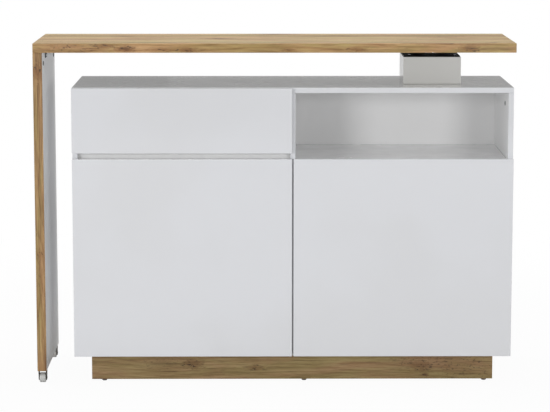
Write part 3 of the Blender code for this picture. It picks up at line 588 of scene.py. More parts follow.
@dataclass(frozen=True)
class DrawnMetal(Finish):
    """Rolled, drawn or zinc-plated metal with fine lines along one axis and faint stains.

    Attributes:
        grain: How the lines run.
        stain: A second colour for plating and stains.
    """

    relief: float = 0.15
    depth: float = 0.00005
    rub: float = 0.6
    grain: Grain = Grain.ALONG
    stain: Triple = (0.45, 0.45, 0.46)

    def make(self) -> bpy.types.Material:
        """Build the nodes.

        Returns:
            The new material.
        """
        skin = Surface(self)
        tree = skin.tree
        brushed = skin.effect(Effect.BRUSHED, tree.grained(skin.place, self.grain), stain_scale=45.0)
        base = tree.mix(tree.times(brushed["Stain"], 0.5), self.color, self.stain)
        rough = tree.spread(brushed["Line"], 0.0, 1.0, self.roughness - 0.07, self.roughness + 0.09)
        stained = tree.plus(rough, tree.times(brushed["Stain"], 0.08))
        return skin.done(tree.mix(skin.rub, base, self.faded(1.2)), stained, brushed["Line"])


@dataclass(frozen=True)
class Knot:
    """A knot at a place on a board.

    Attributes:
        centre: Its middle.
        reach: Its half sizes along the three axes.
        strength: How dark it is, from 0 to 1.
    """

    centre: Triple
    reach: Triple
    strength: float


@dataclass(frozen=True)
class OakDecor(Finish):
    """Knotty oak decor with its grain along one axis; its base colour tints the wood's.

    Attributes:
        grain: How the grain runs.
        offset: Where in the figure the piece is cut from.
        knots: How strong the scattered knots are.
        stave: The width of a stave.
        spots: The knots with a place of their own.
    """

    relief: float = 0.35
    depth: float = 0.00025
    rub: float = 0.3
    dust: float = 0.06
    dusty: Triple = (0.50, 0.46, 0.40)
    grain: Grain = Grain.ALONG
    offset: Triple = (0.0, 0.0, 0.0)
    knots: float = 1.0
    stave: float = 0.12
    spots: tuple[Knot, ...] = ()

    def make(self) -> bpy.types.Material:
        """Build the nodes.

        Returns:
            The new material.
        """
        skin = Surface(self)
        tree = skin.tree
        spot: Socket | float = 0.0
        for knot in self.spots:
            around = skin.effect(Effect.SPOT, centre=knot.centre, reach=knot.reach, strength=knot.strength)
            spot = tree.most(spot, around["Mask"])
        oak = skin.effect(Effect.OAK, tree.grained(skin.place, self.grain, self.offset), spot=spot,
                          knot_amount=self.knots, stave_width=self.stave)
        tinted = tree.mix(1.0, oak["Color"], self.color, "MULTIPLY")
        rough = tree.spread(oak["Gloss"], 0.2, 0.8, self.roughness + 0.08, self.roughness - 0.06)
        return skin.done(tinted, tree.minus(rough, tree.times(skin.rub, 0.2)), oak["Height"])


def front_knots(y: float, *rows: tuple[float, float, float, float, float]) -> tuple[Knot, ...]:
    """Knots on an upright front at a depth y, from rows of x, z, half length, half height and strength."""
    return tuple(Knot((x, y, z), (long, 0.03, tall), strength) for x, z, long, tall, strength in rows)


def top_knots(z: float, *rows: tuple[float, float, float, float, float]) -> tuple[Knot, ...]:
    """Knots on a level face at a height z, from rows of x, y, half length, half depth and strength."""
    return tuple(Knot((x, y, z), (long, deep, 0.02), strength) for x, y, long, deep, strength in rows)


BAR_KNOTS = (
    *front_knots(
        -0.18,
        (-0.590, 1.026, 0.150, 0.040, 0.42),
        (-0.511, 1.032, 0.050, 0.010, 0.80),
        (-0.445, 1.024, 0.045, 0.014, 1.00),
        (-0.330, 1.020, 0.075, 0.009, 0.60),
        (-0.262, 1.020, 0.045, 0.012, 0.80),
        (0.042, 1.020, 0.035, 0.010, 0.65),
        (0.247, 1.022, 0.045, 0.012, 0.75),
        (0.583, 1.024, 0.045, 0.014, 0.85),
    ),
    Knot((0.655, -0.15, 1.040), (0.030, 0.02, 0.010), 0.6),
    *top_knots(
        1.04,
        (-0.464, 0.100, 0.060, 0.030, 0.80),
        (-0.170, 0.010, 0.080, 0.030, 0.90),
        (0.010, 0.185, 0.120, 0.025, 0.95),
        (0.219, 0.115, 0.090, 0.030, 0.60),
        (0.517, 0.064, 0.100, 0.030, 0.45),
    ),
)
LEG_KNOTS = (
    *front_knots(-0.18, (-0.71, 0.955, 0.02, 0.035, 0.75), (-0.71, 0.400, 0.02, 0.030, 0.5)),
    Knot((-0.723, 0.05, 0.700), (0.02, 0.03, 0.050), 0.7),
)
PLINTH_KNOTS = front_knots(
    -0.14,
    (-0.249, 0.052, 0.055, 0.026, 0.70),
    (-0.060, 0.040, 0.050, 0.016, 0.62),
    # This wide, faint spot is no knot: it darkens the plinth towards its right end
    (0.560, 0.050, 0.420, 0.120, 0.34),
    (0.450, 0.045, 0.065, 0.032, 0.74),
    (0.462, 0.018, 0.020, 0.008, 1.00),
    (0.625, 0.080, 0.018, 0.008, 0.90),
)
# The plinth's oak is darker than the bar's: partly a darker tone, partly painted shade under the doors'
# overhang
PLINTH_TONE_AND_SHADE = (0.74, 0.75, 0.73)
BAR_CUT = {"offset": (0.21, 0.05, 0.0), "knots": 0.25, "spots": BAR_KNOTS}

WHITE_GLOSS = GlossFilm("white_gloss_film", (0.793, 0.803, 0.832), 0.10, coat=0.5)
# The cabinet top's film is darker and warmer than the same white film on the fronts: painted shade from the
# bar board above, with its warm bounce light
TOP_FILM_PAINTED_SHADE = GlossFilm("white_top_film", (0.690, 0.685, 0.668), 0.12, coat=0.5, dust=0.015)
# The column's white film is darker than the same film on the fronts: painted shade under the bar board
COLUMN_WHITE_PAINTED_SHADE = GlossFilm("white_column_film", (0.660, 0.655, 0.635), 0.14, coat=0.4)
WHITE_EDGE = GlossFilm("white_gloss_edge", (0.700, 0.705, 0.715), 0.16, coat=0.3)
# The open shelf's top film is paler than the same film on the fronts: painted light inside the open
# compartment
SHELF_FILM_PAINTED_LIGHT = GlossFilm("white_shelf_film", (0.845, 0.847, 0.855), 0.20, coat=0.5)
# White melamine, paler than the fronts' film partly as painted light on the shaded inner faces of carcass,
# drawer and leg
WHITE_BOARD = Melamine("white_melamine", (0.910, 0.910, 0.910), 0.38)
BACK_BOARD = Melamine("white_back_board", (0.840, 0.840, 0.840), 0.50)
OAK_TOP = OakDecor("oak_bar", (1.10, 1.07, 0.98), 0.34, **BAR_CUT)
# The bar board's top face is the same oak tinted paler and bluer: painted light from above and a painted
# whitish sheen
OAK_FACE_PAINTED_SHEEN = OakDecor("oak_bar_top", (1.26, 1.35, 1.45), 0.32, specular=0.6, stave=0.065, **BAR_CUT)
OAK_LEG = OakDecor("oak_leg", (1.04, 1.03, 0.98), 0.40, grain=Grain.UPRIGHT, offset=(0.4, 0.02, 0.0),
                   knots=0.3, spots=LEG_KNOTS)
OAK_PLINTH = OakDecor("oak_plinth", PLINTH_TONE_AND_SHADE, 0.5, offset=(1.3, 0.31, 0.2), knots=0.3, spots=PLINTH_KNOTS)
OAK_PLINTH_END = OakDecor("oak_plinth_end", PLINTH_TONE_AND_SHADE, 0.5, grain=Grain.DEEP, offset=(0.3, 1.1, 0.2))
# The grip profile is pale lacquered metal, made paler still as painted light in the shaded groove under the
# drawer front
GRIP_METAL_AND_PAINTED_LIGHT = DrawnMetal("grip_anodised", (0.93, 0.93, 0.93), 0.45, stain=(0.89, 0.89, 0.90))
RUNNER_METAL = DrawnMetal("runner_zinc", (0.60, 0.61, 0.63), 0.30, 1.0, grain=Grain.DEEP,
                          stain=(0.47, 0.48, 0.50))
HINGE_METAL = DrawnMetal("hinge_nickel", (0.63, 0.62, 0.60), 0.22, 1.0, grain=Grain.DEEP,
                         stain=(0.52, 0.50, 0.47))
SCREW_METAL = DrawnMetal("screw_zinc", (0.57, 0.57, 0.58), 0.28, 1.0, grain=Grain.UPRIGHT,
                         stain=(0.42, 0.41, 0.38))
BALL_METAL = DrawnMetal("ball_steel", (0.72, 0.72, 0.73), 0.12, 1.0, stain=(0.60, 0.60, 0.60))
BRACKET_METAL = Coated("bracket_dark", (0.050, 0.052, 0.050), 0.40, 0.3, worn=(0.30, 0.30, 0.30), dust=0.1)
TABLE_BLACK = Coated("turntable_black", (0.004, 0.004, 0.004), 0.46, specular=0.15, worn=(0.03, 0.03, 0.03),
                     dust=0.01)
FORK_DARK = Coated("castor_fork_dark", (0.130, 0.120, 0.105), 0.36, 0.7, worn=(0.38, 0.36, 0.32))
WHEEL_GREY = Coated("castor_wheel_grey", (0.640, 0.640, 0.620), 0.48, worn=(0.42, 0.41, 0.39),
                    pebble=(700.0, 90.0, 0.3))
GLIDE_GREY = Coated("glide_grey", (0.130, 0.110, 0.115), 0.38, worn=(0.30, 0.28, 0.28),
                    pebble=(600.0, 90.0, 0.3))
CAM_GREY = Coated("cam_cover_grey", (0.060, 0.060, 0.060), 0.40, worn=(0.30, 0.30, 0.30),
                  pebble=(500.0, 90.0, 0.3))
DOT_CLEAR = Finish("clear_silicone", (0.70, 0.70, 0.67), 0.30)


def shown(data: bpy.types.ID) -> bpy.types.Object:
    """Put a mesh, a lamp or a camera into the scene.

    Args:
        data: The mesh, lamp or camera.

    Returns:
        The object, with the same name.
    """
    thing = bpy.data.objects.new(data.name, data)
    bpy.context.scene.collection.objects.link(thing)
    return thing


def scaled(outline: Outline, radius: float, height: float) -> list[tuple[float, float]]:
    """An outline in shares of radius and height, brought to size."""
    return [(radius * out, height * up) for out, up in outline]


def smooth_shading(mesh: bpy.types.Mesh, angle: float) -> None:
    """Shade a mesh smooth, with edges sharper than an angle in degrees kept."""
    mesh.shade_smooth()
    mesh.set_sharp_from_angle(angle=math.radians(angle))


def weigh_normals(mesh: bpy.types.Mesh) -> None:
    """Let the large faces of a mesh shade flat, with the bend of a round edge in its small faces only.

    Args:
        mesh: The smooth-shaded mesh.
    """
    sums = [Vector((0.0, 0.0, 0.0)) for _ in mesh.vertices]
    for polygon in mesh.polygons:
        for index in polygon.vertices:
            sums[index] += polygon.normal * polygon.area
    mesh.normals_split_custom_set_from_vertices([total.normalized() for total in sums])


def new_piece(name: str, shape: Shape, finishes: list[Finish]) -> bpy.types.Object:
    """Turn a shape into an object with its materials.

    Args:
        name: The piece's name.
        shape: The shape, which is freed.
        finishes: The finishes, in the order of the faces' material indices.

    Returns:
        The new object.
    """
    bmesh.ops.recalc_face_normals(shape, faces=shape.faces)
    mesh = bpy.data.meshes.new(name)
    shape.to_mesh(mesh)
    shape.free()
    for finish in finishes:
        mesh.materials.append(finish.material())
    smooth_shading(mesh, NEW_SHARP)
    return shown(mesh)


def settle(piece: bpy.types.Object, body: Body) -> None:
    """Let a piece ride on its body."""
    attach(piece, body.value)


def ring(shape: Shape, radii: list[float], height: float) -> list[bmesh.types.BMVert]:
    """Add a ring of points round Z to a shape.

    Args:
        shape: The shape.
        radii: The radius at each step round, or a single 0 for a point on the axis.
        height: The ring's height.

    Returns:
        The points.
    """
    turns = [math.tau * step / len(radii) for step in range(len(radii))]
    return [shape.verts.new((radius * math.cos(turn), radius * math.sin(turn), height))
            for radius, turn in zip(radii, turns)]


def band(shape: Shape, low: list[bmesh.types.BMVert], high: list[bmesh.types.BMVert]) -> None:
    """Add the faces between two rings, of which one may be a single point.

    Args:
        shape: The shape.
        low: One ring's points.
        high: The next ring's points.
    """
    for i in range(max(len(low), len(high))):
        corners = [low[i % len(low)], low[(i + 1) % len(low)], high[(i + 1) % len(high)], high[i % len(high)]]
        shape.faces.new(list(dict.fromkeys(corners)))


def aimed(shape: Shape, place: Vector, side: Side) -> Shape:
    """Turn a shape's Z to a side, then move its origin to a place.

    Args:
        shape: The shape.
        place: Where its origin goes.
        side: Where its Z points.

    Returns:
        The same shape.
    """
    turn = Vector(Side.TOP.value).rotation_difference(Vector(side.value)).to_matrix().to_4x4()
    shape.transform(Matrix.Translation(place) @ turn)
    return shape


def turned(profile: Outline | list[tuple[float, float]], place: Vector, side: Side, steps: int) -> Shape:
    """Turn a profile of radius and height round an axis.

    Args:
        profile: The points from the axis out and back to it, or a closed ring of them.
        place: The point on the axis where height is 0.
        side: The direction in which height grows.
        steps: The number of steps round.

    Returns:
        The closed shape.
    """
    shape = bmesh.new()
    rings = [ring(shape, [radius] * (steps if radius else 1), height) for radius, height in profile]
    if profile[0][0] and profile[-1][0]:
        rings.append(rings[0])
    for low, high in zip(rings, rings[1:]):
        band(shape, low, high)
    return aimed(shape, place, side)


def screw_head(place: Vector, side: Side, radius: float = 0.0037, height: float = 0.0018) -> Shape:
    """A pan head with a cross recess.

    Args:
        place: The middle of the head's seat.
        side: The direction it faces.
        radius: The head's radius.
        height: The head's height.

    Returns:
        The head's shape.
    """
    steps, arms = 32, 4
    recess, narrowest, taper = radius * 0.58, 0.34, 0.72
    shape = bmesh.new()
    rim = [*scaled(HEAD_OUTLINE, radius, height), (recess * 1.12, height)]
    spokes = [abs(math.cos(arms / 2 * math.tau * step / steps)) ** 6 for step in range(steps)]
    star = [recess * (narrowest + (1.0 - narrowest) * spoke) for spoke in spokes]
    rings = [ring(shape, [around] * steps, level) for around, level in rim]
    rings += [ring(shape, star, height), ring(shape, [taper * reach for reach in star], height * 0.25)]
    for low, high in zip(rings, rings[1:]):
        band(shape, low, high)
    shape.faces.new(rings[-1])
    shape.faces.new(rings[0][::-1])
    return aimed(shape, place, side)


def fittings(name: str, shapes: list[Shape], finish: Finish, body: Body) -> None:
    """Make one riding piece of several small shapes, which are freed.

    Args:
        name: The piece's name.
        shapes: The shapes.
        finish: Their finish.
        body: The body that they ride on.
    """
    whole = bmesh.new()
    for shape in shapes:
        carrier = bpy.data.meshes.new("carrier")
        shape.to_mesh(carrier)
        shape.free()
        whole.from_mesh(carrier)
        bpy.data.meshes.remove(carrier)
    settle(new_piece(name, whole, [finish]), body)


def turned_node(node: str, shape: Shape, finish: Finish, body: Body) -> None:
    """Let a turned shape stand for a CAD node.

    Args:
        node: The CAD node that it stands for.
        shape: The shape.
        finish: Its finish.
        body: The body that it rides on.
    """
    piece = new_piece(node + "_turned", shape, [finish])
    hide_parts(node)
    settle(piece, body)


def board(node: str, finish: Finish, body: Body, radius: float,
          faces: dict[Side, Finish] | None = None) -> None:
    """Let a board with round edges stand for a CAD board, with its own finish on chosen sides.

    Args:
        node: The CAD node that it stands for.
        finish: The finish of its edges and of every side that faces leaves out.
        body: The body that it rides on.
        radius: The edge radius.
        faces: The sides with a finish of their own.
    """
    faces = faces or {}
    low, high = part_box(node)
    shape = bmesh.new()
    bmesh.ops.create_cube(shape, size=1.0)
    bmesh.ops.scale(shape, vec=high - low, verts=shape.verts)
    bmesh.ops.translate(shape, vec=(low + high) / 2, verts=shape.verts)
    bmesh.ops.bevel(shape, geom=shape.edges[:], offset=min(radius, 0.45 * min(high - low)), segments=3,
                    profile=0.5, affect="EDGES", clamp_overlap=True)
    shape.normal_update()
    finishes = list(dict.fromkeys([finish, *faces.values()]))
    for face in shape.faces:
        for side, own in faces.items():
            if face.normal.dot(Vector(side.value)) > FACING:
                face.material_index = finishes.index(own)
    piece = new_piece(node + "_dressed", shape, finishes)
    weigh_normals(piece.data)
    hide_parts(node)
    settle(piece, body)


def dress_node(node: str, finish: Finish, soften: float = 0.0) -> None:
    """Give a CAD node its material, smooth shading and, where asked, softer edges.

    Args:
        node: The node's name.
        finish: The finish.
        soften: The width of a fine bevel, or 0.
    """
    piece = FRAME["nodes"][node]
    piece.data.materials.clear()
    piece.data.materials.append(finish.material())
    if soften > 0.0:
        bevel = piece.modifiers.new("softer_edges", "BEVEL")
        bevel.width = soften
        bevel.segments = 2
        bevel.limit_method = "ANGLE"
        bevel.angle_limit = math.radians(CAD_SHARP)
        bevel.harden_normals = True
    smooth_shading(piece.data, CAD_SHARP)


@dataclass(frozen=True)
class Lamp:
    """A soft square lamp.

    Attributes:
        name: Its name.
        place: Where it stands.
        target: The point that it faces.
        size: Its side.
        power: Its power in watts.
    """

    name: str
    place: Triple
    target: Triple
    size: float
    power: float

    def build(self) -> None:
        """Hang the lamp, unseen by the camera."""
        data = bpy.data.lights.new(self.name, "AREA")
        data.shape = "SQUARE"
        data.size = self.size
        data.energy = self.power
        lamp = shown(data)
        lamp.location = self.place
        lamp.rotation_euler = (Vector(self.target) - Vector(self.place)).to_track_quat("-Z", "Y").to_euler()
        lamp.visible_camera = False


@dataclass
class Studio:
    """Floor, light and background.

    Attributes:
        floor_size: The floor's side.
        floor_grey: The floor's base colour.
        near_share: How much of the floor near the cabinet shows as plain white, its shadow aside.
        near: The distance from the middle up to which near_share holds.
        far: The distance from which the floor is plain white.
        world_light: The strength of the even light all round.
        world_gloss: Its strength in reflections.
        lamps: The lamps.
    """

    floor_size: float = 90.0
    floor_grey: float = 0.62
    near_share: float = 0.96
    near: float = 0.9
    far: float = 2.6
    world_light: float = 0.37
    world_gloss: float = 0.36
    lamps: tuple[Lamp, ...] = (
        Lamp("top_box", (-0.3, 0.5, 4.0), (0.0, 0.0, 0.8), 2.6, 73.0),
        Lamp("key_left", (-2.9, -5.6, 1.45), (0.0, 0.0, 0.6), 1.5, 93.0),
        Lamp("key_right", (2.5, -5.9, 1.3), (0.0, 0.0, 0.6), 1.5, 70.0),
        Lamp("left_box", (-4.4, 0.2, 2.0), (0.0, 0.0, 0.7), 3.4, 60.0),
        Lamp("right_box", (4.4, 0.2, 2.0), (0.0, 0.0, 0.7), 3.4, 60.0),
        Lamp("back_card", (0.1, 4.0, 0.6), (0.1, 0.0, 0.6), 1.2, 2.3),
    )

    def build(self) -> None:
        """Make the floor, the world and the lamps."""
        self.floor()
        self.world()
        for lamp in self.lamps:
            lamp.build()

    def floor(self) -> None:
        """A pale floor that shows white and keeps the shadow."""
        shape = bmesh.new()
        bmesh.ops.create_grid(shape, x_segments=2, y_segments=2, size=self.floor_size / 2)
        mesh = bpy.data.meshes.new("floor")
        shape.to_mesh(mesh)
        shape.free()
        skin = Surface(Finish("pale_floor", (self.floor_grey,) * 3, 0.9, specular=0.0))
        tree = skin.tree
        distance = tree.vector("LENGTH", skin.place)
        share = tree.spread(distance, self.near, self.far, self.near_share, 1.0)
        seen = tree.times(tree.add("LightPath").outputs["Is Camera Ray"], share)
        glow = tree.add("Emission", {"Strength": 1.0}).outputs[0]
        blend = tree.add("MixShader", {0: seen, 1: skin.shader.outputs[0], 2: glow})
        tree.feed(skin.material.node_tree.nodes["Material Output"].inputs[0], blend.outputs[0])
        mesh.materials.append(skin.material)
        shown(mesh)

    def world(self) -> None:
        """Even light all round, seen as plain white."""
        world = bpy.data.worlds.new("soft_white")
        bpy.context.scene.world = world
        world.use_nodes = True
        tree = Tree(world.node_tree)
        background = world.node_tree.nodes["Background"]
        path = tree.add("LightPath").outputs
        lit = tree.spread(path["Is Glossy Ray"], 0.0, 1.0, self.world_light, self.world_gloss)
        tree.feed(background.inputs["Color"], (1.0, 1.0, 1.0))
        tree.feed(background.inputs["Strength"], tree.most(lit, path["Is Camera Ray"]))


@dataclass
class PhotoCamera:
    """The camera at the photograph's viewpoint, found from the picture's corners of the cabinet.

    Attributes:
        place: Where it stands.
        yaw: Turn to the right of +Y, in radians.
        pitch: Tilt below the horizon, in radians.
        roll: Turn about its own axis, in radians.
        focal: Focal length in widths of the frame.
        rise: Vertical shift in widths of the frame.
        sensor: The sensor's width in millimetres.
        sight: How far it sees.
    """

    place: Triple = (-0.0412, -6.4011, 1.5400)
    yaw: float = 0.00678
    pitch: float = 0.14076
    roll: float = 0.0002
    focal: float = 3.7951
    rise: float = -0.0655
    sensor: float = 36.0
    sight: float = 200.0

    def build(self) -> None:
        """Make the camera and use it."""
        data = bpy.data.cameras.new("photo_camera")
        data.sensor_width = self.sensor
        data.lens = self.sensor * self.focal
        data.shift_y = self.rise
        data.clip_end = self.sight
        camera = shown(data)
        turn = Matrix.Rotation(-self.yaw, 4, "Z") @ Matrix.Rotation(math.pi / 2 - self.pitch, 4, "X")
        camera.matrix_world = Matrix.Translation(self.place) @ turn @ Matrix.Rotation(self.roll, 4, "Z")
        bpy.context.scene.camera = camera


@dataclass
class Boards:
    """The edges that the sub-assemblies have in common.

    Attributes:
        edge: The boards' edge radius.
        thin_edge: The thin boards' edge radius.
        soften: The fine bevel on the chamfered edges of CAD nodes.
    """

    edge: float = 0.0011
    thin_edge: float = 0.0003
    soften: float = 0.0002


@dataclass
class Carcass(Boards):
    """The cabinet's boards, the loose shelves' pins, the back panels' nails and a cam cover.

    Attributes:
        pin_outline: A shelf pin from its flange out, as radii and heights.
        pin_drop: From a shelf's underside to the middle of its pins.
        pin_margin: From a shelf's front or back edge to its pin.
        pin_gap: The room between a pin and its panel.
        nail_outline: A nail's head from its seat up, as radii and heights.
        nail_step: The distance between nails.
        nail_end: From a back panel's lower or upper edge to the first nail.
        nail_side: From a back panel's side edge to its nails.
        cover_radius: The radius of the cam cover in the open compartment's right wall.
        cover_height: Its height.
        cover_back: From the carcass front to that cover's middle.
        cover_drop: From the top panel's underside to that cover's middle.
        gloss_boards: The boards with glossy edges and outer faces, each with the sides that differ.
        plain_boards: The boards that are plain all round.
        back_panels: The thin boards at the back.
    """

    pin_outline: Outline = (
        (0.0, 0.0), (0.00425, 0.0), (0.00425, 0.0009), (0.0025, 0.0011), (0.0025, 0.0082), (0.0017, 0.009),
        (0.0, 0.009))
    pin_drop: float = 0.0026
    pin_margin: float = 0.045
    pin_gap: float = 0.0001
    nail_outline: Outline = ((0.0, 0.0), (0.0021, 0.0), (0.00189, 0.0003), (0.0, 0.0006))
    nail_step: float = 0.115
    nail_end: float = 0.012
    nail_side: float = 0.008
    cover_radius: float = 0.0075
    cover_height: float = 0.0012
    cover_back: float = 0.088
    cover_drop: float = 0.040
    gloss_boards: dict[str, dict[Side, Finish]] = field(default_factory=lambda: {
        # The top panel's upper face takes the darker film, which is painted shade under the bar board
        "top_panel": {Side.UNDER: WHITE_BOARD, Side.TOP: TOP_FILM_PAINTED_SHADE},
        "side_panel_left": {Side.RIGHT: WHITE_BOARD},
        "side_panel_right": {Side.LEFT: WHITE_BOARD},
        "centre_panel": {Side.LEFT: WHITE_BOARD, Side.RIGHT: WHITE_BOARD},
        # The open shelf's paler top film is painted light in the compartment
        "open_shelf": {Side.UNDER: WHITE_BOARD, Side.TOP: SHELF_FILM_PAINTED_LIGHT},
    })
    plain_boards: tuple[str, ...] = ("bottom_panel", "drawer_shelf", "shelf_left", "shelf_right")
    back_panels: tuple[str, ...] = ("back_panel_left", "back_panel_right")

    def build(self) -> None:
        """Dress the boards and add the pins, the nails and the cover."""
        for node, faces in self.gloss_boards.items():
            board(node, WHITE_GLOSS, Body.CABINET, self.edge, faces)
        for node in self.plain_boards:
            board(node, WHITE_BOARD, Body.CABINET, self.edge)
        for node in self.back_panels:
            board(node, BACK_BOARD, Body.CABINET, self.thin_edge)
        self.pins("left", "side_panel_left", "centre_panel")
        self.pins("right", "centre_panel", "side_panel_right")
        self.nails()
        self.cover()

    def pins(self, ending: str, left_wall: str, right_wall: str) -> None:
        """Four steel pins with a flange under a loose shelf.

        Args:
            ending: The end of the shelf's node name.
            left_wall: The node of the panel to its left.
            right_wall: The node of the panel to its right.
        """
        low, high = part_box("shelf_" + ending)
        walls = ((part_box(left_wall)[1].x + self.pin_gap, Side.RIGHT),
                 (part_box(right_wall)[0].x - self.pin_gap, Side.LEFT))
        pins = [turned(self.pin_outline, Vector((x, y, low.z - self.pin_drop)), side, 20)
                for y in (low.y + self.pin_margin, high.y - self.pin_margin) for x, side in walls]
        fittings("shelf_pins_" + ending, pins, SCREW_METAL, Body.CABINET)

    def nails(self) -> None:
        """Small nail heads along the edges of the two back panels."""
        for node in self.back_panels:
            low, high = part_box(node)
            rows = int((high.z - low.z) / self.nail_step)
            first = low.z + self.nail_end
            levels = [first + (high.z - self.nail_end - first) * row / rows for row in range(rows + 1)]
            heads = [turned(self.nail_outline, Vector((x, high.y, z)), Side.BACK, 12)
                     for z in levels for x in (low.x + self.nail_side, high.x - self.nail_side)]
            name = node.replace("back_panel", "back_nails")
            fittings(name, heads, SCREW_METAL, Body.CABINET)

    def cover(self) -> None:
        """The cam cover in the open compartment's right wall, with a driver slot."""
        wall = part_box("side_panel_right")[0]
        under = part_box("top_panel")[0].z
        place = Vector((wall.x, wall.y + self.cover_back, under - self.cover_drop))
        head = screw_head(place, Side.LEFT, self.cover_radius, self.cover_height)
        fittings("compartment_cam_cover", [head], CAM_GREY, Body.CABINET)


@dataclass
class Fronts(Boards):
    """Doors, drawer front and the grip profile between them.

    Attributes:
        dot_outline: A silicone dot from its seat up, as radii and heights.
        dot_side: From a door's free edge to a dot's middle.
        dot_low: From a door's lower edge to the lower dot's middle.
        dot_high: From a door's upper edge to the upper dot's middle.
    """

    dot_outline: Outline = ((0.0, 0.0), (0.004, 0.0), (0.00376, 0.000715), (0.0024, 0.0013), (0.0, 0.0013))
    dot_side: float = 0.0065
    dot_low: float = 0.013
    dot_high: float = 0.052

    def build(self) -> None:
        """Dress the fronts and add the dots."""
        dress_node("door_left", WHITE_GLOSS, self.soften)
        dress_node("door_right", WHITE_GLOSS, self.soften)
        board("drawer_front", WHITE_GLOSS, Body.DRAWER, self.edge)
        # The grip profile's pale colour is partly painted light in the groove
        dress_node("grip_profile", GRIP_METAL_AND_PAINTED_LIGHT)
        self.dots("left", Body.DOOR_LEFT)
        self.dots("right", Body.DOOR_RIGHT)

    def dots(self, ending: str, body: Body) -> None:
        """Two clear dots behind a door's free edge, which is the one at the cabinet's middle.

        Args:
            ending: The end of the door's node name.
            body: The door's body.
        """
        low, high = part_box("door_" + ending)
        x = high.x - self.dot_side if ending == "left" else low.x + self.dot_side
        dots = [turned(self.dot_outline, Vector((x, high.y, z)), Side.BACK, 20)
                for z in (low.z + self.dot_low, high.z - self.dot_high)]
        fittings("door_dots_" + ending, dots, DOT_CLEAR, body)


@dataclass
class CupHinges:
    """Finishes of the cup hinges, and the screws of their mounting plates.

    Attributes:
        plate_seat: The room between a mounting plate and its panel.
        plate: The mounting plate's thickness.
        screw_back: From the arm's rear end to the screws.
        screw_rise: How far above and below its middle a mounting plate has its screws.
    """

    plate_seat: float = 0.0003
    plate: float = 0.0022
    screw_back: float = 0.026
    screw_rise: float = 0.019

    def build(self) -> None:
        """Dress cups, arms and links and add the screws."""
        for side, inward, wall in (("left", Side.RIGHT, 1), ("right", Side.LEFT, 0)):
            heads = []
            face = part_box("side_panel_" + side)[wall].x + inward.value[0] * (self.plate_seat + self.plate)
            for ending in (side + "_low", side + "_high"):
                for kind in ("hinge_cup_", "hinge_arm_", "hinge_link_"):
                    dress_node(kind + ending, HINGE_METAL)
                low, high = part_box("hinge_arm_" + ending)
                place = Vector((face, high.y - self.screw_back, (low.z + high.z) / 2))
                heads += [screw_head(place + Vector((0.0, 0.0, rise)), inward)
                          for rise in (-self.screw_rise, self.screw_rise)]
            fittings("hinge_screws_" + side, heads, SCREW_METAL, Body.CABINET)


@dataclass
class Drawer(Boards):
    """The drawer box, its cam covers and its runners.

    Attributes:
        cap_outline: A cam cover from the board out, as radii and heights.
        cover_back: From the drawer box's front to a cover's middle.
        cover_rise: From the drawer side's lower or upper edge to a cover's middle.
    """

    edge: float = 0.0009
    cap_outline: Outline = ((0.0, 0.0), (0.0072, 0.0), (0.0072, 0.0004), (0.006408, 0.0009), (0.0, 0.001))
    cover_back: float = 0.034
    cover_rise: float = 0.030

    def build(self) -> None:
        """Dress boards and runners and add the cam covers."""
        for node in ("drawer_side_left", "drawer_side_right", "drawer_back"):
            board(node, WHITE_BOARD, Body.DRAWER, self.edge)
        board("drawer_bottom", BACK_BOARD, Body.DRAWER, self.thin_edge)
        for side in ("left", "right"):
            for member in ("outer", "middle", "inner"):
                dress_node("runner_" + member + "_" + side, RUNNER_METAL)
        self.covers()

    def covers(self) -> None:
        """Cam covers on the drawer's sides, where they join the front."""
        caps = []
        for ending, inward, wall in (("left", Side.RIGHT, 1), ("right", Side.LEFT, 0)):
            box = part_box("drawer_side_" + ending)
            x, y = box[wall].x, box[0].y + self.cover_back
            caps += [turned(self.cap_outline, Vector((x, y, z)), inward, 24)
                     for z in (box[0].z + self.cover_rise, box[1].z - self.cover_rise)]
        fittings("drawer_cam_covers", caps, WHITE_EDGE, Body.DRAWER)


@dataclass
class Plinth(Boards):
    """The oak plinth frame and its glides.

    Attributes:
        rows: The rows of glides.
        places: The glides in a row.
        outline: A glide's outline from its foot up, in shares of its radius and height.
    """

    edge: float = 0.0009
    rows: tuple[str, ...] = ("front", "back")
    places: tuple[str, ...] = ("left", "middle", "right")
    outline: Outline = (
        (0.0, 0.0), (0.52, 0.0), (0.68, 0.05), (0.82, 0.17), (0.92, 0.36), (0.97, 0.56), (0.97, 0.64),
        (1.0, 0.68), (1.0, 0.94), (0.97, 1.0), (0.0, 1.0))

    def build(self) -> None:
        """Dress the boards and make the glides."""
        for node in ("plinth_front", "plinth_back"):
            board(node, OAK_PLINTH, Body.CABINET, self.edge)
        for node in ("plinth_left", "plinth_right"):
            board(node, OAK_PLINTH_END, Body.CABINET, self.edge)
        for row in self.rows:
            for place in self.places:
                self.glide("glide_" + row + "_" + place)

    def glide(self, node: str) -> None:
        """A turned glide with a domed foot and a rim.

        Args:
            node: The CAD glide that it stands for.
        """
        low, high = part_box(node)
        profile = scaled(self.outline, (high.x - low.x) / 2, high.z - low.z)
        foot = Vector(((low.x + high.x) / 2, (low.y + high.y) / 2, low.z))
        turned_node(node, turned(profile, foot, Side.TOP, 40), GLIDE_GREY, Body.CABINET)


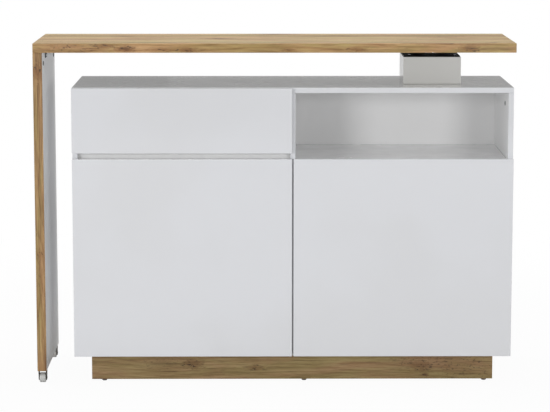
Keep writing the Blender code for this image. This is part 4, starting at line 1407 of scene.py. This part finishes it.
@dataclass
class Turntable(Boards):
    """The column box and the ball turntable on it.

    Attributes:
        head_seat: From a plate's far face to the seat of its screw heads.
        head_reach: From the axis to a screw head, along X and along Y.
        head_radius: The screw heads' radius.
        head_height: Their height.
    """

    head_seat: float = 0.0053
    head_reach: float = 0.069
    head_radius: float = 0.0040
    head_height: float = 0.0012

    def build(self) -> None:
        """Dress the column, plates, balls and stud and add the screw heads."""
        # The column's darker film is painted shade from the bar board above
        dress_node("column_box", COLUMN_WHITE_PAINTED_SHADE, self.soften)
        dress_node("turntable_lower_plate", TABLE_BLACK)
        dress_node("turntable_upper_plate", TABLE_BLACK)
        dress_node("turntable_ball_ring", BALL_METAL)
        dress_node("pivot_stud", SCREW_METAL)
        low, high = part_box("turntable_lower_plate")
        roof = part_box("turntable_upper_plate")[1].z
        middle = (low + high) / 2
        self.heads("lower", Vector((middle.x, middle.y, low.z + self.head_seat)), Side.TOP, Body.CABINET)
        self.heads("upper", Vector((middle.x, middle.y, roof - self.head_seat)), Side.UNDER, Body.BAR)

    def heads(self, plate: str, middle: Vector, side: Side, body: Body) -> None:
        """Bright cross heads over a plate's four corner screws.

        Args:
            plate: The plate's word in the piece's name.
            middle: The point between the heads' seats.
            side: The side that they look to.
            body: The plate's body.
        """
        reach = self.head_reach
        heads = [screw_head(middle + Vector((x, y, 0.0)), side, self.head_radius, self.head_height)
                 for x in (-reach, reach) for y in (-reach, reach)]
        fittings("turntable_heads_" + plate, heads, SCREW_METAL, body)


@dataclass
class Bar(Boards):
    """The bar board, the leg panel and the fittings in the corner between them.

    Attributes:
        cam_radius: The cam covers' radius.
        cam_height: Their height.
        cam_drop: From the bar board's underside to a cam cover's middle.
        cam_margin: From the leg's front or back edge to a cam cover.
        sheet: The angle brackets' thickness.
        screw_margin: From an angle bracket's front or back end to its screws.
        screw_edge: From an angle bracket's free edge to its screws.
    """

    edge: float = 0.0013
    cam_radius: float = 0.0073
    cam_height: float = 0.0016
    cam_drop: float = 0.034
    cam_margin: float = 0.037
    sheet: float = 0.002
    screw_margin: float = 0.009
    screw_edge: float = 0.008

    def build(self) -> None:
        """Make the boards and the fittings."""
        # The bar board's top face takes the oak with painted light from above and a painted sheen
        faces = {Side.UNDER: WHITE_BOARD, Side.TOP: OAK_FACE_PAINTED_SHEEN}
        board("bar_board", OAK_TOP, Body.BAR, self.edge, faces)
        board("leg_panel", OAK_LEG, Body.BAR, self.edge, {Side.RIGHT: WHITE_BOARD})
        self.cam_covers()
        self.brackets()

    def cam_covers(self) -> None:
        """Two round covers, each with a cross slot, on the leg's inner face."""
        low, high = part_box("leg_panel")
        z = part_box("bar_board")[0].z - self.cam_drop
        covers = [screw_head(Vector((high.x, y, z)), Side.RIGHT, self.cam_radius, self.cam_height)
                  for y in (low.y + self.cam_margin, high.y - self.cam_margin)]
        fittings("leg_cam_covers", covers, CAM_GREY, Body.BAR)

    def brackets(self) -> None:
        """The angle brackets, with two screws in each leg of both."""
        heads = []
        for node in ("leg_bracket_front", "leg_bracket_rear"):
            dress_node(node, BRACKET_METAL)
            low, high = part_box(node)
            for y in (low.y + self.screw_margin, high.y - self.screw_margin):
                on_leg = Vector((low.x + self.sheet, y, low.z + self.screw_edge))
                on_board = Vector((high.x - self.screw_edge, y, high.z - self.sheet))
                heads += [screw_head(on_leg, Side.RIGHT), screw_head(on_board, Side.UNDER)]
        fittings("bracket_screws", heads, SCREW_METAL, Body.BAR)


@dataclass
class Castors(Boards):
    """The two fixed castors under the leg.

    Attributes:
        play: How far the tread stands back from the hub's ends.
        bore: The radius of the axle's hole.
        tread: The radius that rounds the tread's edges.
        hub: The thickness of the hub's wall.
        chamfer: The chamfer of the hub's ends.
        web: How far the web lies below the tread's side.
        rim: From the web's end out to the tread's side, in shares of the radius and depths.
    """

    soften: float = 0.0003
    play: float = 0.0007
    bore: float = 0.0034
    tread: float = 0.0030
    hub: float = 0.0021
    chamfer: float = 0.0005
    web: float = 0.0022
    rim: Outline = ((0.56, 0.0022), (0.60, 0.0018), (0.60, 0.0004), (0.63, 0.0))

    def build(self) -> None:
        """Dress the forks and make the wheels."""
        for ending, body in (("front", Body.CASTOR_FRONT), ("rear", Body.CASTOR_REAR)):
            dress_node("castor_fork_" + ending, FORK_DARK, self.soften)
            self.wheel("castor_wheel_" + ending, body)

    def wheel(self, node: str, body: Body) -> None:
        """A wheel with a soft tread, a web with a groove and a hub.

        Args:
            node: The CAD wheel that it stands for.
            body: The body that it spins with.
        """
        low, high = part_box(node)
        radius = (high.z - low.z) / 2
        boss = (high.x - low.x) / 2
        half = boss - self.play
        wall = self.bore + self.hub
        hub = [(self.bore, boss), (wall - self.chamfer, boss), (wall, boss - self.chamfer),
               (wall, half - self.web)]
        rim = [(radius * share, half - depth) for share, depth in self.rim]
        bends = [math.radians(angle) for angle in range(0, 91, 15)]
        tread = [(radius - self.tread * (1.0 - math.sin(bend)), half - self.tread * (1.0 - math.cos(bend)))
                 for bend in bends]
        profile = hub + rim + tread
        profile += [(out, -along) for out, along in profile[::-1]]
        turned_node(node, turned(profile, (low + high) / 2, Side.RIGHT, 64), WHEEL_GREY, body)


def main() -> None:
    """Build the sub-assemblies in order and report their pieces."""
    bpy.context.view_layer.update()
    logging.basicConfig(level=logging.INFO, format="%(message)s")
    bpy.context.scene.view_settings.view_transform = "Standard"
    Groups.build()
    for part in (Studio(), PhotoCamera(), Carcass(), Fronts(), CupHinges(), Drawer(), Plinth(), Turntable(),
                 Bar(), Castors()):
        before = set(bpy.data.objects.keys())
        part.build()
        pieces = sorted(set(bpy.data.objects.keys()) - before)
        LOG.info("built %s: %s", type(part).__name__, ", ".join(pieces))


if __name__ == "__main__":
    main()
